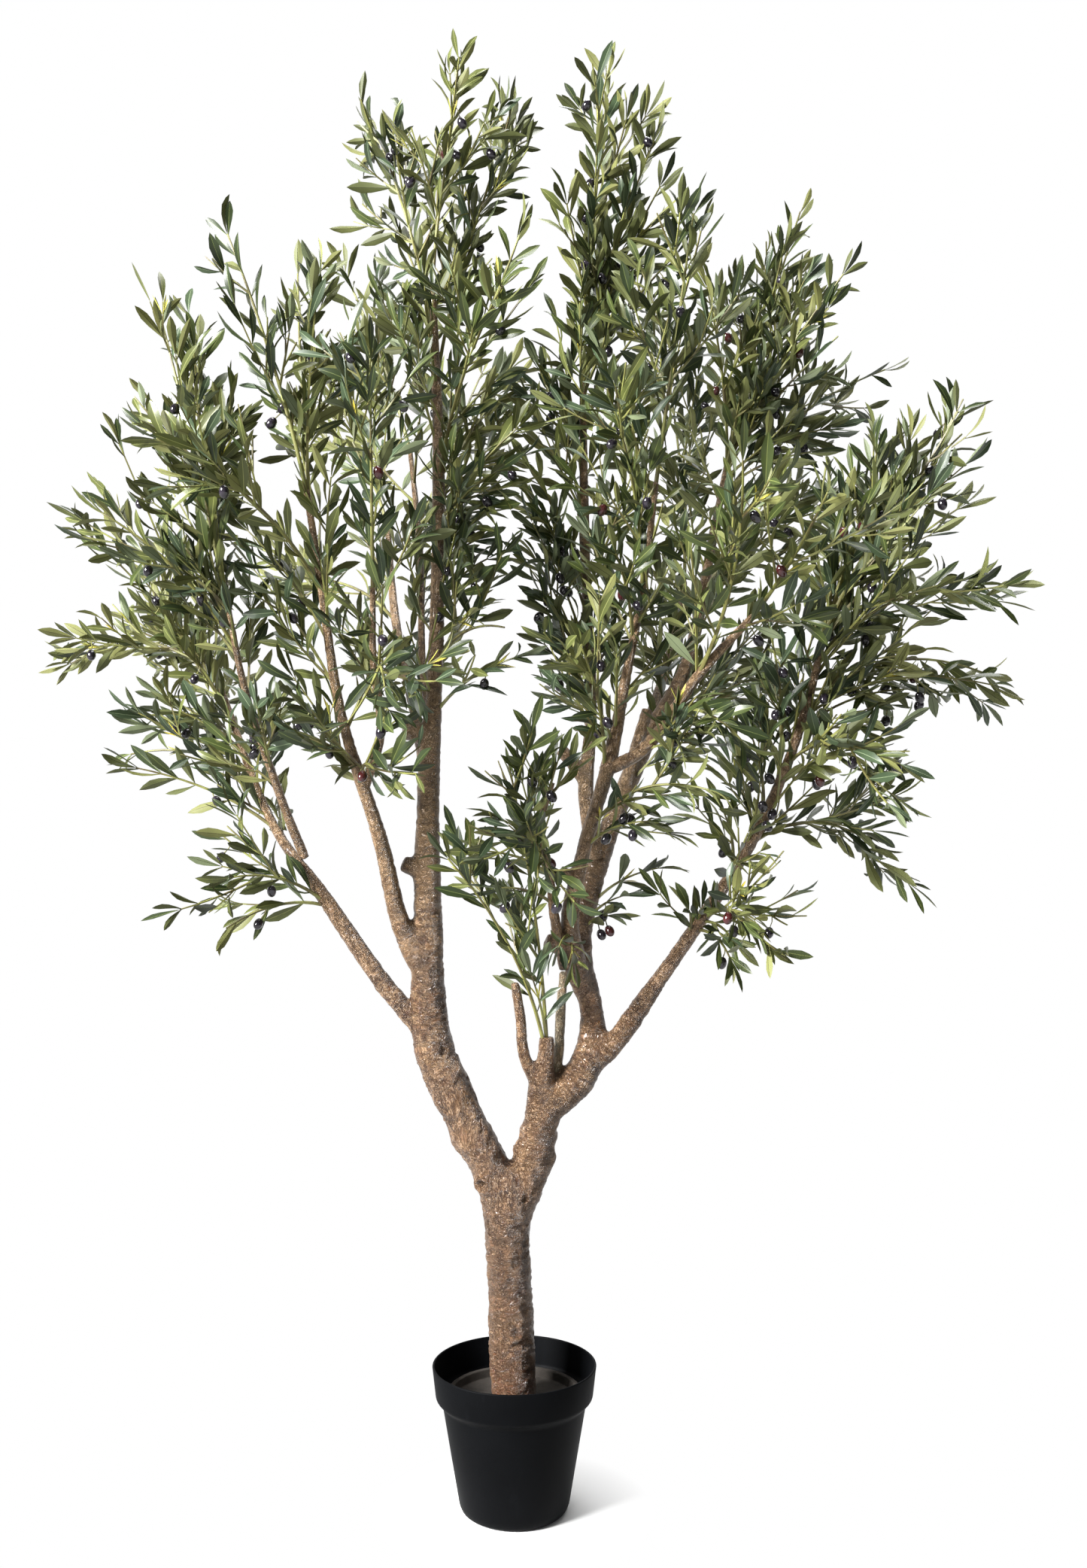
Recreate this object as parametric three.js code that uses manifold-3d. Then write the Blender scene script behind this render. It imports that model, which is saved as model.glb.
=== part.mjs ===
// An artificial olive tree in a plastic pot, in millimetres, +Z up, the photographed side facing -Y.
// The origin is the centre of the pot's underside.
import * as THREE from "three";
import { mergeVertices } from "three/addons/utils/BufferGeometryUtils.js";
import Module from "manifold-3d";

const wasm = await Module();
wasm.setup();

// The pot: a rim band, a shoulder below it and a tapering body.
const POT_HEIGHT = 208;
const POT_RIM_RADIUS = 117.5;
const POT_BAND_FOOT = 163;
const POT_BAND_FOOT_RADIUS = 112.5;
const POT_SHOULDER = 154;
const POT_SHOULDER_RADIUS = 103;
const POT_FOOT_RADIUS = 79;
const POT_EDGE = 12;
const POT_WALL = 3.2;
const POT_SIDES = 24;

// The cement that holds the trunk, with the raised ring of its casting pot.
const FILL_LEVEL = 157;
const FILL_RING_HEIGHT = 13;
const FILL_RING_WIDTH = 9;

// Neighbouring solids keep this gap.
const GAP = 0.3;

// Limbs: the longest step along a limb, and the sides of a thick and of a thin one.
const LIMB_STEP = 110;
const TRUNK_SIDES = 10;
const BOUGH_SIDES = 8;
const THIN_SIDES = 6;
const THIN_RADIUS = 17;

// Foliage: a leaf here stands for the several smaller leaves about it.
const LEAF = { length: 112, width: 35, thickness: 3, widest: 0.42 };
const SIDE_LEAF_SIZE = 0.9;
const SIDE_LEAF_ROOT = 1.2;
const SIDE_LEAF_SHARES = [0.4, 0.75];
const LEAF_LEAN = 42;
const LEAF_CLEARANCE = 11;
const TWIG_RADIUS = 2;
const TWIG_TIP_RADIUS = 1.8;
const TWIG_MIN_LENGTH = 26;
const BLADE_SIDES = 3;
const STEM_STEPS = 3;
const STEM_RADIUS = 5.6;
const STEM_TIP_RADIUS = 4.4;
const SPACE_GAP = 5;
const LIMB_CLEARANCE = 2;

// The rule of growth. A stem is bare at first, then has a twig every TWIG_STEP, each turned on by the
// golden angle and shorter than the one before. This model carries every other twig.
const STEM_KNEE = 0.45;
const STEM_TURN = 0.5;
const STEM_LINE_STEPS = 12;
const BARE_SHARE = 0.16;
const TWIG_STEP = 27;
const TWIGS_PER_TWIG = 2;
const TWIG_LEAN = 46;
const TWIG_BEND = 0.3;
const TWIG_REACH = 1.42;
const TWIG_REACH_LOSS = 0.5;
const GOLDEN_ANGLE = 137.5;
const VARIATION = { spin: 15, lean: 8, reach: 0.1 };
const SEED_STEP = 1000;

const OLIVE = { length: 17, width: 13 };
const OLIVE_SHARE = 0.6;

const LOOKS = {
  pot: new THREE.MeshStandardMaterial({ color: 0x23272a, roughness: 0.6, metalness: 0 }),
  cement: new THREE.MeshStandardMaterial({ color: 0x2e2a27, roughness: 0.9, metalness: 0 }),
  bark: new THREE.MeshStandardMaterial({ color: 0xa5866c, roughness: 0.7, metalness: 0 }),
  leaves: new THREE.MeshStandardMaterial({ color: 0x5a6d48, roughness: 0.5, metalness: 0 }),
};

// The trunk is a shaft and the two arms of its fork. A row is x, y, z and radius.
const TRUNK = [
  [[1, 0, FILL_LEVEL - POT_EDGE, 32], [-4, 0, 226, 34], [-8, 0, 340, 33], [-12, 0, 392, 33],
    [-10, 0, 424, 37], [-7, 0, 456, 37], [-4, 0, 492, 27]],
  [[-16, 0, 432, 29], [-32, 0, 482, 29], [-63, 0, 548, 28]],
  [[0, 0, 432, 28], [14, 0, 464, 30], [27, 0, 502, 29.5], [32, 0, 524, 28]],
];

// Each bough's points, from inside the limb that carries it to where its last mass takes over.
const BOUGHS = {
  left_main: [[-58, 0, 538, 27.5], [-92, 0, 606, 29.5], [-117, 0, 664, 30], [-122, 0, 728, 25.5],
    [-125, 0, 905, 20], [-124, 4, 1040, 16.5], [-114, 15, 1219, 11.5], [-111, 30, 1500, 9.8],
    [-119, 20, 1765, 5]],
  left_low: [[-118, 0, 668, 15], [-187, 0, 752, 13], [-281, 25, 881, 11], [-356, 60, 978, 7.5],
    [-452, 130, 1195, 5]],
  left_low_fork: [[-306, 36, 930, 8], [-334, 10, 1012, 6.5], [-374, -70, 1174, 5.2], [-389, -120, 1293, 4]],
  left_mid: [[-126, -2, 762, 15], [-145, -8, 800, 17], [-164, -15, 846, 14.5], [-187, -40, 956, 11],
    [-237, -85, 1133, 7.5], [-260, -130, 1315, 6], [-275, -155, 1433, 4.5]],
  left_mid_fork: [[-208, -58, 1034, 7], [-183, -85, 1108, 6], [-189, -120, 1199, 5.2],
    [-187, -150, 1303, 4]],
  left_thin: [[-120, 10, 1132, 7], [-134, 40, 1198, 5.5], [-145, 118, 1396, 5], [-164, 170, 1552, 4]],
  back_left: [[-124, 4, 1040, 11], [-145, 90, 1124, 9], [-190, 215, 1290, 7], [-215, 330, 1464, 4.5]],
  right_main: [[31, 0, 512, 27], [35, 0, 545, 27], [46, 2, 574, 26.5], [92, 9, 614, 26.5],
    [110, 14, 652, 24], [113, 20, 700, 18], [96, 33, 810, 16], [125, 50, 933, 17], [187, 85, 1086, 15],
    [257, 115, 1219, 10], [304, 150, 1433, 7], [326, 165, 1537, 5]],
  centre: [[31, -2, 548, 20], [38, -5, 606, 19], [45, -8, 645, 13.5], [46, -8, 679, 12]],
  right_low: [[104, 12, 628, 17], [144, 4, 668, 16], [178, -5, 717, 15], [208, -13, 762, 11.5],
    [257, -30, 836, 10], [338, -60, 969, 9], [396, -92, 1120, 7], [425, -110, 1246, 5]],
  right_front: [[101, 22, 738, 15], [84, 0, 792, 18], [79, -20, 848, 14], [97, -45, 941, 10.5],
    [134, -75, 1074, 10.5], [156, -75, 1186, 7.2], [178, -75, 1302, 6], [198, -75, 1458, 4.5]],
  front_small: [[74, -6, 776, 11], [58, -35, 845, 7.5], [50, -62, 914, 6], [36, -90, 972, 5],
    [54, -120, 1041, 4]],
  right_reach: [[124, -68, 1056, 9.5], [178, -98, 1086, 9], [253, -150, 1189, 7], [319, -200, 1262, 5]],
  right_up: [[122, 44, 928, 13], [104, 52, 1017, 12.5], [112, 68, 1141, 9], [103, 79, 1390, 8],
    [100, 80, 1634, 5]],
  back_right: [[171, 76, 1046, 12], [205, 160, 1134, 9.5], [245, 260, 1254, 7], [275, 340, 1374, 5]],
};

// Sawn stubs and thin shoots, each fused to the bough named first.
const STUBS = [
  ["left_main", [[-124, 0, 912, 13], [-146, -6, 920, 13], [-160, -8, 926, 12]]],
  ["left_main", [[-123, 6, 1108, 14], [-146, 0, 1114, 14], [-160, -4, 1116, 13]]],
  ["right_main", [[158, 70, 1020, 11], [178, 62, 1090, 10], [195, 56, 1150, 9]]],
  ["right_front", [[84, -2, 800, 16], [58, -16, 812, 15], [44, -20, 816, 13]]],
  ["right_front", [[86, -34, 900, 8], [76, -42, 912, 8], [66, -48, 918, 7.5]]],
  ["right_up", [[105, 54, 1040, 11], [78, 52, 1078, 10], [66, 50, 1090, 9]]],
  ["centre", [[34, -6, 606, 10], [14, -12, 652, 9], [9, -18, 706, 8], [1, -24, 757, 6.3]]],
  ["centre", [[46, 4, 590, 9], [62, 16, 640, 8], [66, 22, 702, 7.5], [71, 24, 768, 6]]],
];

// A mass of foliage: its bough, the share of the bough's length where its stem leaves, the point that
// its last leaf reaches, the spread of its twigs about the stem, how far its stem arches up, and fruit.
const MASSES = {
  top_left_peak: ["left_main", 1, [-65, -20, 2088], 110, 0, 1],
  top_left_side: ["left_main", 0.93, [-238, 130, 2090], 105, 0, 1],
  top_left_right: ["left_main", 0.88, [21, 170, 2095], 105, 0, 0],
  left_spike: ["left_mid", 1, [-397, -170, 1817], 95, 10, 0],
  left_shoulder: ["left_low_fork", 1, [-499, -80, 1728], 100, 10, 0],
  left_reach_high: ["left_mid", 0.8, [-493, -300, 1490], 100, 20, 0],
  left_reach_mid: ["left_low_fork", 0.8, [-597, -160, 1427], 92, 20, 0],
  left_reach_low: ["left_low", 1, [-715, 150, 1246], 95, 25, 1],
  left_skirt: ["left_low", 0.7, [-655, 215, 1071], 66, 25, 0],
  left_skirt_low: ["left_low", 0.38, [-429, -120, 898], 85, 20, 1],
  left_star: ["left_mid_fork", 0.5, [-142, -400, 1125], 90, 0, 0],
  left_tuft: ["left_mid", 0.42, [-145, -235, 1010], 80, 20, 0],
  left_inner_back: ["left_thin", 1, [-300, 260, 1905], 110, 0, 0],
  left_inner: ["left_mid", 0.9, [-311, 0, 1813], 100, 0, 0],
  left_inner_front: ["left_mid_fork", 1, [-173, -310, 1620], 105, 0, 1],
  mid_left_front: ["left_main", 0.77, [11, -260, 1708], 105, 0, 0],
  mid_left_out: ["left_main", 0.55, [31, -150, 1232], 84, 15, 0],
  mid_left_back: ["left_main", 0.7, [-48, 340, 1738], 110, 0, 0],
  left_back_side: ["left_low", 0.83, [-628, 370, 1356], 105, 10, 0],
  back_left_top: ["back_left", 1, [-335, 430, 1740], 120, 0, 0],
  back_left_side: ["back_left", 0.62, [-471, 470, 1381], 112, 18, 0],
  top_right_peak: ["right_up", 1, [141, 50, 2095], 110, 0, 1],
  right_crest: ["right_front", 1, [249, -170, 1854], 105, 0, 0],
  right_horn: ["right_main", 1, [460, 200, 1985], 105, 0, 1],
  right_shoulder: ["right_main", 0.93, [648, 330, 1735], 100, 10, 0],
  right_reach_high: ["right_low", 1, [669, -30, 1565], 100, 15, 0],
  right_reach_mid: ["right_low", 0.93, [644, -230, 1307], 100, 20, 0],
  right_reach_low: ["right_low", 0.84, [735, 30, 1175], 84, 30, 1],
  right_skirt: ["right_low", 0.73, [508, -260, 1041], 84, 20, 1],
  right_skirt_low: ["right_low", 0.56, [575, 50, 910], 84, 25, 0],
  right_star: ["right_low", 0.38, [360, -160, 819], 88, 20, 1],
  right_inner_high: ["right_reach", 1, [394, -400, 1422], 110, 0, 0],
  right_inner_front: ["right_reach", 0.62, [269, -440, 1457], 110, 0, 0],
  centre_right_front: ["right_front", 0.8, [104, -320, 1568], 105, 0, 0],
  centre_right_low: ["right_front", 0.44, [72, -260, 1251], 84, 0, 0],
  right_low_fan: ["right_front", 0.34, [304, -240, 1012], 95, 25, 0],
  centre_left_tip: ["centre", 0.8, [-123, -130, 975], 66, 15, 0],
  centre_up: ["centre", 1, [-19, -170, 1131], 88, 0, 0],
  front_star: ["front_small", 0.62, [32, -240, 863], 76, 10, 1],
  back_right_top: ["back_right", 1, [231, 420, 1862], 120, 0, 0],
  back_right_side: ["back_right", 0.72, [596, 450, 1560], 115, 10, 0],
  back_right_low: ["back_right", 0.4, [504, 370, 1180], 108, 20, 0],
};

// Solids

function solidOf(geometry) {
  geometry.deleteAttribute("normal");
  geometry.deleteAttribute("uv");
  const merged = mergeVertices(geometry, 1e-4);
  const corners = merged.index.array;
  const faces = [];
  for (let i = 0; i < corners.length; i += 3) {
    const [a, b, c] = corners.slice(i, i + 3);
    const flat = a === b || b === c || c === a;
    if (!flat) faces.push(a, b, c);
  }
  return new wasm.Manifold(
    new wasm.Mesh({
      numProp: 3,
      vertProperties: new Float32Array(merged.attributes.position.array),
      triVerts: new Uint32Array(faces),
    }),
  );
}

function meshOf(name, solid, look) {
  const data = solid.getMesh();
  const geometry = new THREE.BufferGeometry();
  geometry.setAttribute("position", new THREE.BufferAttribute(data.vertProperties, 3));
  geometry.setIndex(new THREE.BufferAttribute(data.triVerts, 1));
  geometry.computeVertexNormals();
  const mesh = new THREE.Mesh(geometry, look);
  mesh.name = name;
  return mesh;
}

function largestBody(solid) {
  const bodies = solid.decompose();
  return bodies.reduce((best, body) => (body.volume() > best.volume() ? body : best));
}

function boxesMeet(a, b) {
  const first = a.boundingBox();
  const second = b.boundingBox();
  return [0, 1, 2].every((k) => first.min[k] < second.max[k] && second.min[k] < first.max[k]);
}

function cutClear(solid, others) {
  const near = others.filter((other) => boxesMeet(solid, other));
  if (!near.length) return solid;
  return largestBody(solid.subtract(wasm.Manifold.union(near)));
}

// Limbs

// The stations of a limb: centre, direction and radius at even steps of the smooth curve through its points.
function stationsOf(points, step) {
  const centres = points.map(([x, y, z]) => new THREE.Vector3(x, y, z));
  const curve = new THREE.CatmullRomCurve3(centres, false, "centripetal");
  const spans = points.length - 1;
  const stations = [];
  for (let span = 0; span < spans; span += 1) {
    const parts = Math.max(1, Math.round(centres[span].distanceTo(centres[span + 1]) / step));
    for (let part = span === 0 ? 0 : 1; part <= parts; part += 1) {
      const share = part / parts;
      const t = (span + share) / spans;
      const radius = THREE.MathUtils.lerp(points[span][3], points[span + 1][3], share);
      stations.push({ centre: curve.getPoint(t), heading: curve.getTangent(t), radius });
    }
  }
  return stations;
}

// A direction that the line from start to end isn't near to.
function sideAxis(start, end) {
  const chord = end.clone().sub(start);
  const sizes = [Math.abs(chord.x), Math.abs(chord.y), Math.abs(chord.z)];
  const least = sizes.indexOf(Math.min(...sizes));
  return new THREE.Vector3().setComponent(least, 1);
}

// A closed skin over the stations, grown outwards all over where a clear space is cut. It is round,
// or flattened where a station has a height, and its width then lies across the facing direction.
function skin(stations, sides, { grow = 0, facing } = {}) {
  const steps = stations.length - 1;
  const axis = facing || sideAxis(stations[0].centre, stations[steps].centre);
  const geometry = new THREE.CylinderGeometry(1, 1, 1, sides, steps);
  const position = geometry.attributes.position;
  const point = new THREE.Vector3();
  for (let i = 0; i < position.count; i += 1) {
    const row = Math.round((position.getY(i) + 0.5) * steps);
    const { centre, heading, radius, height = radius } = stations[row];
    const across = new THREE.Vector3().crossVectors(heading, axis).normalize();
    const other = new THREE.Vector3().crossVectors(across, heading);
    const end = row === 0 ? -grow : row === steps ? grow : 0;
    point.copy(centre).addScaledVector(heading, end);
    point.addScaledVector(across, position.getX(i) * (radius + grow));
    point.addScaledVector(other, position.getZ(i) * (height + grow));
    position.setXYZ(i, point.x, point.y, point.z);
  }
  return solidOf(geometry);
}

function limbSides(points) {
  return points[0][3] > THIN_RADIUS ? BOUGH_SIDES : THIN_SIDES;
}

// The trunk or a bough as one solid, and its grown copy for cutting its neighbours clear.
function limbSolids(pieces, sides) {
  const rows = pieces.map((points) => stationsOf(points, LIMB_STEP));
  const solid = wasm.Manifold.union(rows.map((row) => skin(row, sides)));
  const grown = wasm.Manifold.union(rows.map((row) => skin(row, sides, { grow: GAP })));
  return { rows, solid, grown };
}

// The block that cuts the trunk's foot off flat.
function belowFillLevel() {
  const size = 2 * POT_RIM_RADIUS;
  const block = new THREE.BoxGeometry(size, size, size);
  return solidOf(block.translate(0, 0, FILL_LEVEL + GAP - size / 2));
}

function buildLimbs() {
  const limbs = new Map();
  const trunk = limbSolids(TRUNK, TRUNK_SIDES);
  trunk.solid = trunk.solid.subtract(belowFillLevel());
  limbs.set("trunk", trunk);
  for (const [name, points] of Object.entries(BOUGHS)) {
    const stubs = STUBS.filter(([bough]) => bough === name).map(([, row]) => row);
    const made = limbSolids([points, ...stubs], limbSides(points));
    const before = [...limbs.values()].map((limb) => limb.grown);
    made.solid = cutClear(made.solid, before);
    limbs.set(name, made);
  }
  return limbs;
}

// The centre, heading and radius at a share of a limb's length.
function along(stations, share) {
  const lengths = stations.slice(1).map((station, i) => station.centre.distanceTo(stations[i].centre));
  let left = share * lengths.reduce((sum, length) => sum + length, 0);
  let i = 0;
  while (i < lengths.length - 1 && left > lengths[i]) {
    left -= lengths[i];
    i += 1;
  }
  const t = Math.min(1, left / lengths[i]);
  return {
    centre: stations[i].centre.clone().lerp(stations[i + 1].centre, t),
    heading: stations[i].heading.clone().lerp(stations[i + 1].heading, t).normalize(),
    radius: THREE.MathUtils.lerp(stations[i].radius, stations[i + 1].radius, t),
  };
}

// Foliage

// The same even random numbers for the same seed.
function randomFrom(seed) {
  let state = seed >>> 0;
  return () => {
    state = (state + 0x6d2b79f5) >>> 0;
    let mixed = state;
    mixed = Math.imul(mixed ^ (mixed >>> 15), mixed | 1);
    mixed ^= mixed + Math.imul(mixed ^ (mixed >>> 7), mixed | 61);
    return ((mixed ^ (mixed >>> 14)) >>> 0) / 4294967296;
  };
}

// A mass's stem runs on from its bough's heading and bends towards the mass's far tip.
function stemOf(row, limbs, seed) {
  const [bough, share, tip, spread, arch, fruit] = row;
  const root = along(limbs.get(bough).rows[0], share);
  const end = new THREE.Vector3(...tip);
  const reach = root.centre.distanceTo(end);
  const chord = end.clone().sub(root.centre).normalize();
  const start = root.heading.clone().lerp(chord, STEM_TURN).normalize();
  const knee = root.centre.clone().addScaledVector(start, STEM_KNEE * reach);
  knee.z += arch;
  const from = root.centre.clone().addScaledVector(root.heading, share === 1 ? -LIMB_CLEARANCE : 0);
  const curve = new THREE.QuadraticBezierCurve3(from, knee, end);
  return { curve, reach, spread, fruit, seed, line: curve.getPoints(STEM_LINE_STEPS) };
}

const nearest = new THREE.Vector3();
const segment = new THREE.Line3();

// How far a point is from a line through several points.
function distanceToLine(point, line) {
  let best = Infinity;
  for (let i = 1; i < line.length; i += 1) {
    segment.set(line[i - 1], line[i]).closestPointToPoint(point, true, nearest);
    best = Math.min(best, nearest.distanceTo(point));
  }
  return best;
}

// How far a point is from the skin of a limb.
function distanceToSkin(point, stations) {
  let best = Infinity;
  for (let i = 1; i < stations.length; i += 1) {
    segment.set(stations[i - 1].centre, stations[i].centre);
    const share = segment.closestPointToPointParameter(point, true);
    const radius = THREE.MathUtils.lerp(stations[i - 1].radius, stations[i].radius, share);
    best = Math.min(best, segment.at(share, nearest).distanceTo(point) - radius);
  }
  return best;
}

// A point is in a mass's own space where its stem is the nearest stem by SPACE_GAP and no limb is near.
function inOwnSpace(point, own, stems, rows) {
  const home = distanceToLine(point, own.line) + SPACE_GAP;
  if (stems.some((stem) => stem !== own && distanceToLine(point, stem.line) < home)) return false;
  return !rows.some((row) => distanceToSkin(point, row) < LIMB_CLEARANCE);
}

// A direction turned away from heading by lean degrees, towards the side given by spin degrees.
function leaning(heading, lean, spin) {
  const axis = Math.abs(heading.z) < 0.9 ? new THREE.Vector3(0, 0, 1) : new THREE.Vector3(1, 0, 0);
  const side = new THREE.Vector3().crossVectors(heading, axis).normalize();
  side.applyAxisAngle(heading, THREE.MathUtils.degToRad(spin));
  const turn = THREE.MathUtils.degToRad(lean);
  return heading.clone().multiplyScalar(Math.cos(turn)).addScaledVector(side, Math.sin(turn));
}

// The stations of a leaf blade that leaves a point: its widest place and its pointed tip.
function bladeStations(root, heading, length) {
  const size = length / LEAF.length;
  return [
    {
      centre: root.clone().addScaledVector(heading, LEAF.widest * length),
      heading,
      radius: (LEAF.width * size) / Math.sqrt(3),
      height: (LEAF.thickness * size) / 1.5,
    },
    { centre: root.clone().addScaledVector(heading, length), heading, radius: 0, height: 0 },
  ];
}

// The points that must lie in a mass's own space for a leaf to be kept.
function bladeProbes(root, heading, facing, length) {
  const across = new THREE.Vector3().crossVectors(heading, facing).normalize();
  const half = (0.5 * LEAF.width * length) / LEAF.length;
  const edges = [[0.25, 0.6], [LEAF.widest, 1], [0.8, 0.5]];
  const probes = [[1, 0], ...edges, ...edges.map(([share, side]) => [share, -side])];
  return probes.map(([share, side]) =>
    root.clone().addScaledVector(heading, share * length).addScaledVector(across, side * half),
  );
}

// One leaf with a pointed root, sunk behind the given point of its twig.
function sideLeaf(point, heading, facing) {
  const length = SIDE_LEAF_SIZE * LEAF.length;
  const root = point.clone().addScaledVector(heading, -SIDE_LEAF_ROOT);
  const stations = [{ centre: root, heading, radius: 0, height: 0 }, ...bladeStations(root, heading, length)];
  const points = bladeProbes(root, heading, facing, length);
  return { points, line: [root, points[0]], solid: () => skin(stations, BLADE_SIDES, { facing }) };
}

// A three-sided twig that ends in a leaf, as one skin.
function leafyTwig(root, heading, facing, length) {
  const end = root.clone().addScaledVector(heading, length);
  const stations = [
    { centre: root, heading, radius: TWIG_RADIUS },
    { centre: end, heading, radius: TWIG_TIP_RADIUS },
    ...bladeStations(end, heading, LEAF.length),
  ];
  const points = bladeProbes(end, heading, facing, LEAF.length);
  return { points, line: [end, points[0]], end, solid: () => skin(stations, BLADE_SIDES, { facing }) };
}

// Whether a leaf comes too near the middle line of another.
function crosses(made, other) {
  return made.points.some((point) => distanceToLine(point, other.line) < LEAF_CLEARANCE);
}

function olive(point, heading) {
  const geometry = new THREE.IcosahedronGeometry(1, 0);
  geometry.scale(OLIVE.width / 2, OLIVE.length / 2, OLIVE.width / 2);
  const turn = new THREE.Quaternion().setFromUnitVectors(new THREE.Vector3(0, 1, 0), heading);
  geometry.applyQuaternion(turn);
  geometry.translate(point.x, point.y, point.z - OLIVE.width / 2);
  return solidOf(geometry);
}

// Where each of a mass's twigs leaves its stem, its heading and how far its last leaf reaches.
function twigsOf(stem) {
  const leafy = stem.reach * (1 - BARE_SHARE) - LEAF.length;
  const count = TWIGS_PER_TWIG * Math.max(2, Math.round(leafy / (TWIG_STEP * TWIGS_PER_TWIG)));
  const end = 1 - (0.75 * LEAF.length) / stem.reach;
  const twigs = [];
  for (let i = 1; i < count; i += TWIGS_PER_TWIG) {
    const random = randomFrom(stem.seed * SEED_STEP + i);
    const vary = (amount) => amount * (2 * random() - 1);
    const share = THREE.MathUtils.lerp(BARE_SHARE, end, (i + 0.5) / count);
    const spin = i * GOLDEN_ANGLE + vary(VARIATION.spin);
    const lean = TWIG_LEAN + vary(VARIATION.lean);
    const reach = stem.spread * (TWIG_REACH - TWIG_REACH_LOSS * share) * (1 + vary(VARIATION.reach));
    const along = stem.curve.getTangent(share);
    const heading = leaning(along, lean, spin).lerp(along, TWIG_BEND).normalize();
    twigs.push({ root: stem.curve.getPoint(share), heading, spin, reach });
  }
  return twigs;
}

// The leaves on opposite sides of a straight twig.
function leavesOn(from, to, spin) {
  const heading = to.clone().sub(from).normalize();
  return SIDE_LEAF_SHARES.map((share, side) => {
    const out = leaning(heading, LEAF_LEAN, spin + 180 * side);
    return sideLeaf(from.clone().lerp(to, share), out, heading);
  });
}

// A mass's stem ends in a leaf too.
function stemSkin(stem) {
  const share = 1 - LEAF.length / stem.reach;
  const stations = [];
  for (let step = 0; step <= STEM_STEPS; step += 1) {
    const t = (share * step) / STEM_STEPS;
    const radius = THREE.MathUtils.lerp(STEM_RADIUS, STEM_TIP_RADIUS, step / STEM_STEPS);
    stations.push({ centre: stem.curve.getPoint(t), heading: stem.curve.getTangent(t), radius });
  }
  const { centre: end, heading } = stations[STEM_STEPS];
  const blade = bladeStations(end, heading, end.distanceTo(stem.curve.getPoint(1)));
  return { stations, solid: skin([...stations, ...blade], BLADE_SIDES) };
}

// A mass is its stem, its twigs and their leaves, less what would leave its space or touch a limb.
function massSolid(stem, stems, rows) {
  const kept = [];
  const fits = ({ points }) => points.every((point) => inOwnSpace(point, stem, stems, rows));
  const keep = (made) => {
    const free = fits(made) && !kept.some((other) => crosses(made, other));
    if (free) kept.push(made);
    return free;
  };
  const { stations, solid } = stemSkin(stem);
  const pieces = [solid];
  const [before, last] = stations.slice(-2);
  leavesOn(before.centre, last.centre, stem.seed * GOLDEN_ANGLE).forEach(keep);
  for (const [number, { root, heading, spin, reach }] of twigsOf(stem).entries()) {
    const length = Math.max(TWIG_MIN_LENGTH, reach - LEAF.length);
    const twig = leafyTwig(root, heading, leaning(heading, 90, spin), length);
    if (!keep(twig)) continue;
    leavesOn(root, twig.end, spin + 90).forEach(keep);
    const hang = root.clone().lerp(twig.end, OLIVE_SHARE);
    if (number < stem.fruit) pieces.push(olive(hang, heading));
  }
  return wasm.Manifold.union([...pieces, ...kept.map((made) => made.solid())]);
}

// The pot and its fill

function lathe(profile) {
  const points = profile.map(([radius, height]) => new THREE.Vector2(radius, height));
  return solidOf(new THREE.LatheGeometry(points, POT_SIDES).rotateX(Math.PI / 2));
}

// The inside of the pot's wall at a height below the rim band.
function potInside(height) {
  const share = (height - POT_EDGE) / (POT_SHOULDER - POT_EDGE);
  return THREE.MathUtils.lerp(POT_FOOT_RADIUS, POT_SHOULDER_RADIUS, share) - POT_WALL;
}

function potSolid() {
  const lip = POT_WALL / 2;
  return lathe([
    [0, 0],
    [POT_FOOT_RADIUS - POT_EDGE, 0],
    [POT_FOOT_RADIUS - 0.3 * POT_EDGE, 0.3 * POT_EDGE],
    [POT_FOOT_RADIUS, POT_EDGE],
    [POT_SHOULDER_RADIUS, POT_SHOULDER],
    [POT_BAND_FOOT_RADIUS, POT_BAND_FOOT],
    [POT_RIM_RADIUS, POT_HEIGHT - lip],
    [POT_RIM_RADIUS - lip, POT_HEIGHT],
    [POT_RIM_RADIUS - 2 * lip, POT_HEIGHT - lip],
    [POT_BAND_FOOT_RADIUS - POT_WALL, POT_BAND_FOOT + POT_WALL],
    [POT_SHOULDER_RADIUS - POT_WALL, POT_SHOULDER + POT_WALL],
    [potInside(POT_EDGE), POT_EDGE],
    [potInside(POT_EDGE) - POT_EDGE, POT_WALL],
    [0, POT_WALL],
  ]);
}

function fillSolid() {
  const top = potInside(POT_SHOULDER) - 2;
  const ring = FILL_LEVEL + FILL_RING_HEIGHT;
  return lathe([
    [0, POT_WALL + GAP],
    [potInside(POT_EDGE) - POT_EDGE - GAP, POT_WALL + GAP],
    [potInside(POT_EDGE) - 2 * GAP, POT_EDGE],
    [top, POT_SHOULDER],
    [top - 2, ring],
    [top - FILL_RING_WIDTH, ring],
    [top - FILL_RING_WIDTH - 2, FILL_LEVEL],
    [0, FILL_LEVEL],
  ]);
}

// The whole tree

const tree = new THREE.Group();
tree.add(meshOf("pot", potSolid(), LOOKS.pot));
tree.add(meshOf("fill", fillSolid(), LOOKS.cement));

const limbs = buildLimbs();
const boughs = new THREE.Group();
for (const [name, limb] of limbs) boughs.add(meshOf(name, limb.solid, LOOKS.bark));
tree.add(boughs);

const grownLimbs = [...limbs.values()].map((limb) => limb.grown);
const limbRows = [...limbs.values()].flatMap((limb) => limb.rows);
const stems = Object.values(MASSES).map((row, index) => stemOf(row, limbs, index + 1));
const crown = new THREE.Group();
for (const [index, name] of Object.keys(MASSES).entries()) {
  const solid = cutClear(massSolid(stems[index], stems, limbRows), grownLimbs);
  crown.add(meshOf(name, solid, LOOKS.leaves));
}
tree.add(crown);

export default tree;
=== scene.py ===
"""The looks of an artificial olive tree in its pot: bark, twigs, leaves, fruit, pot, floor and light."""

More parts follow.
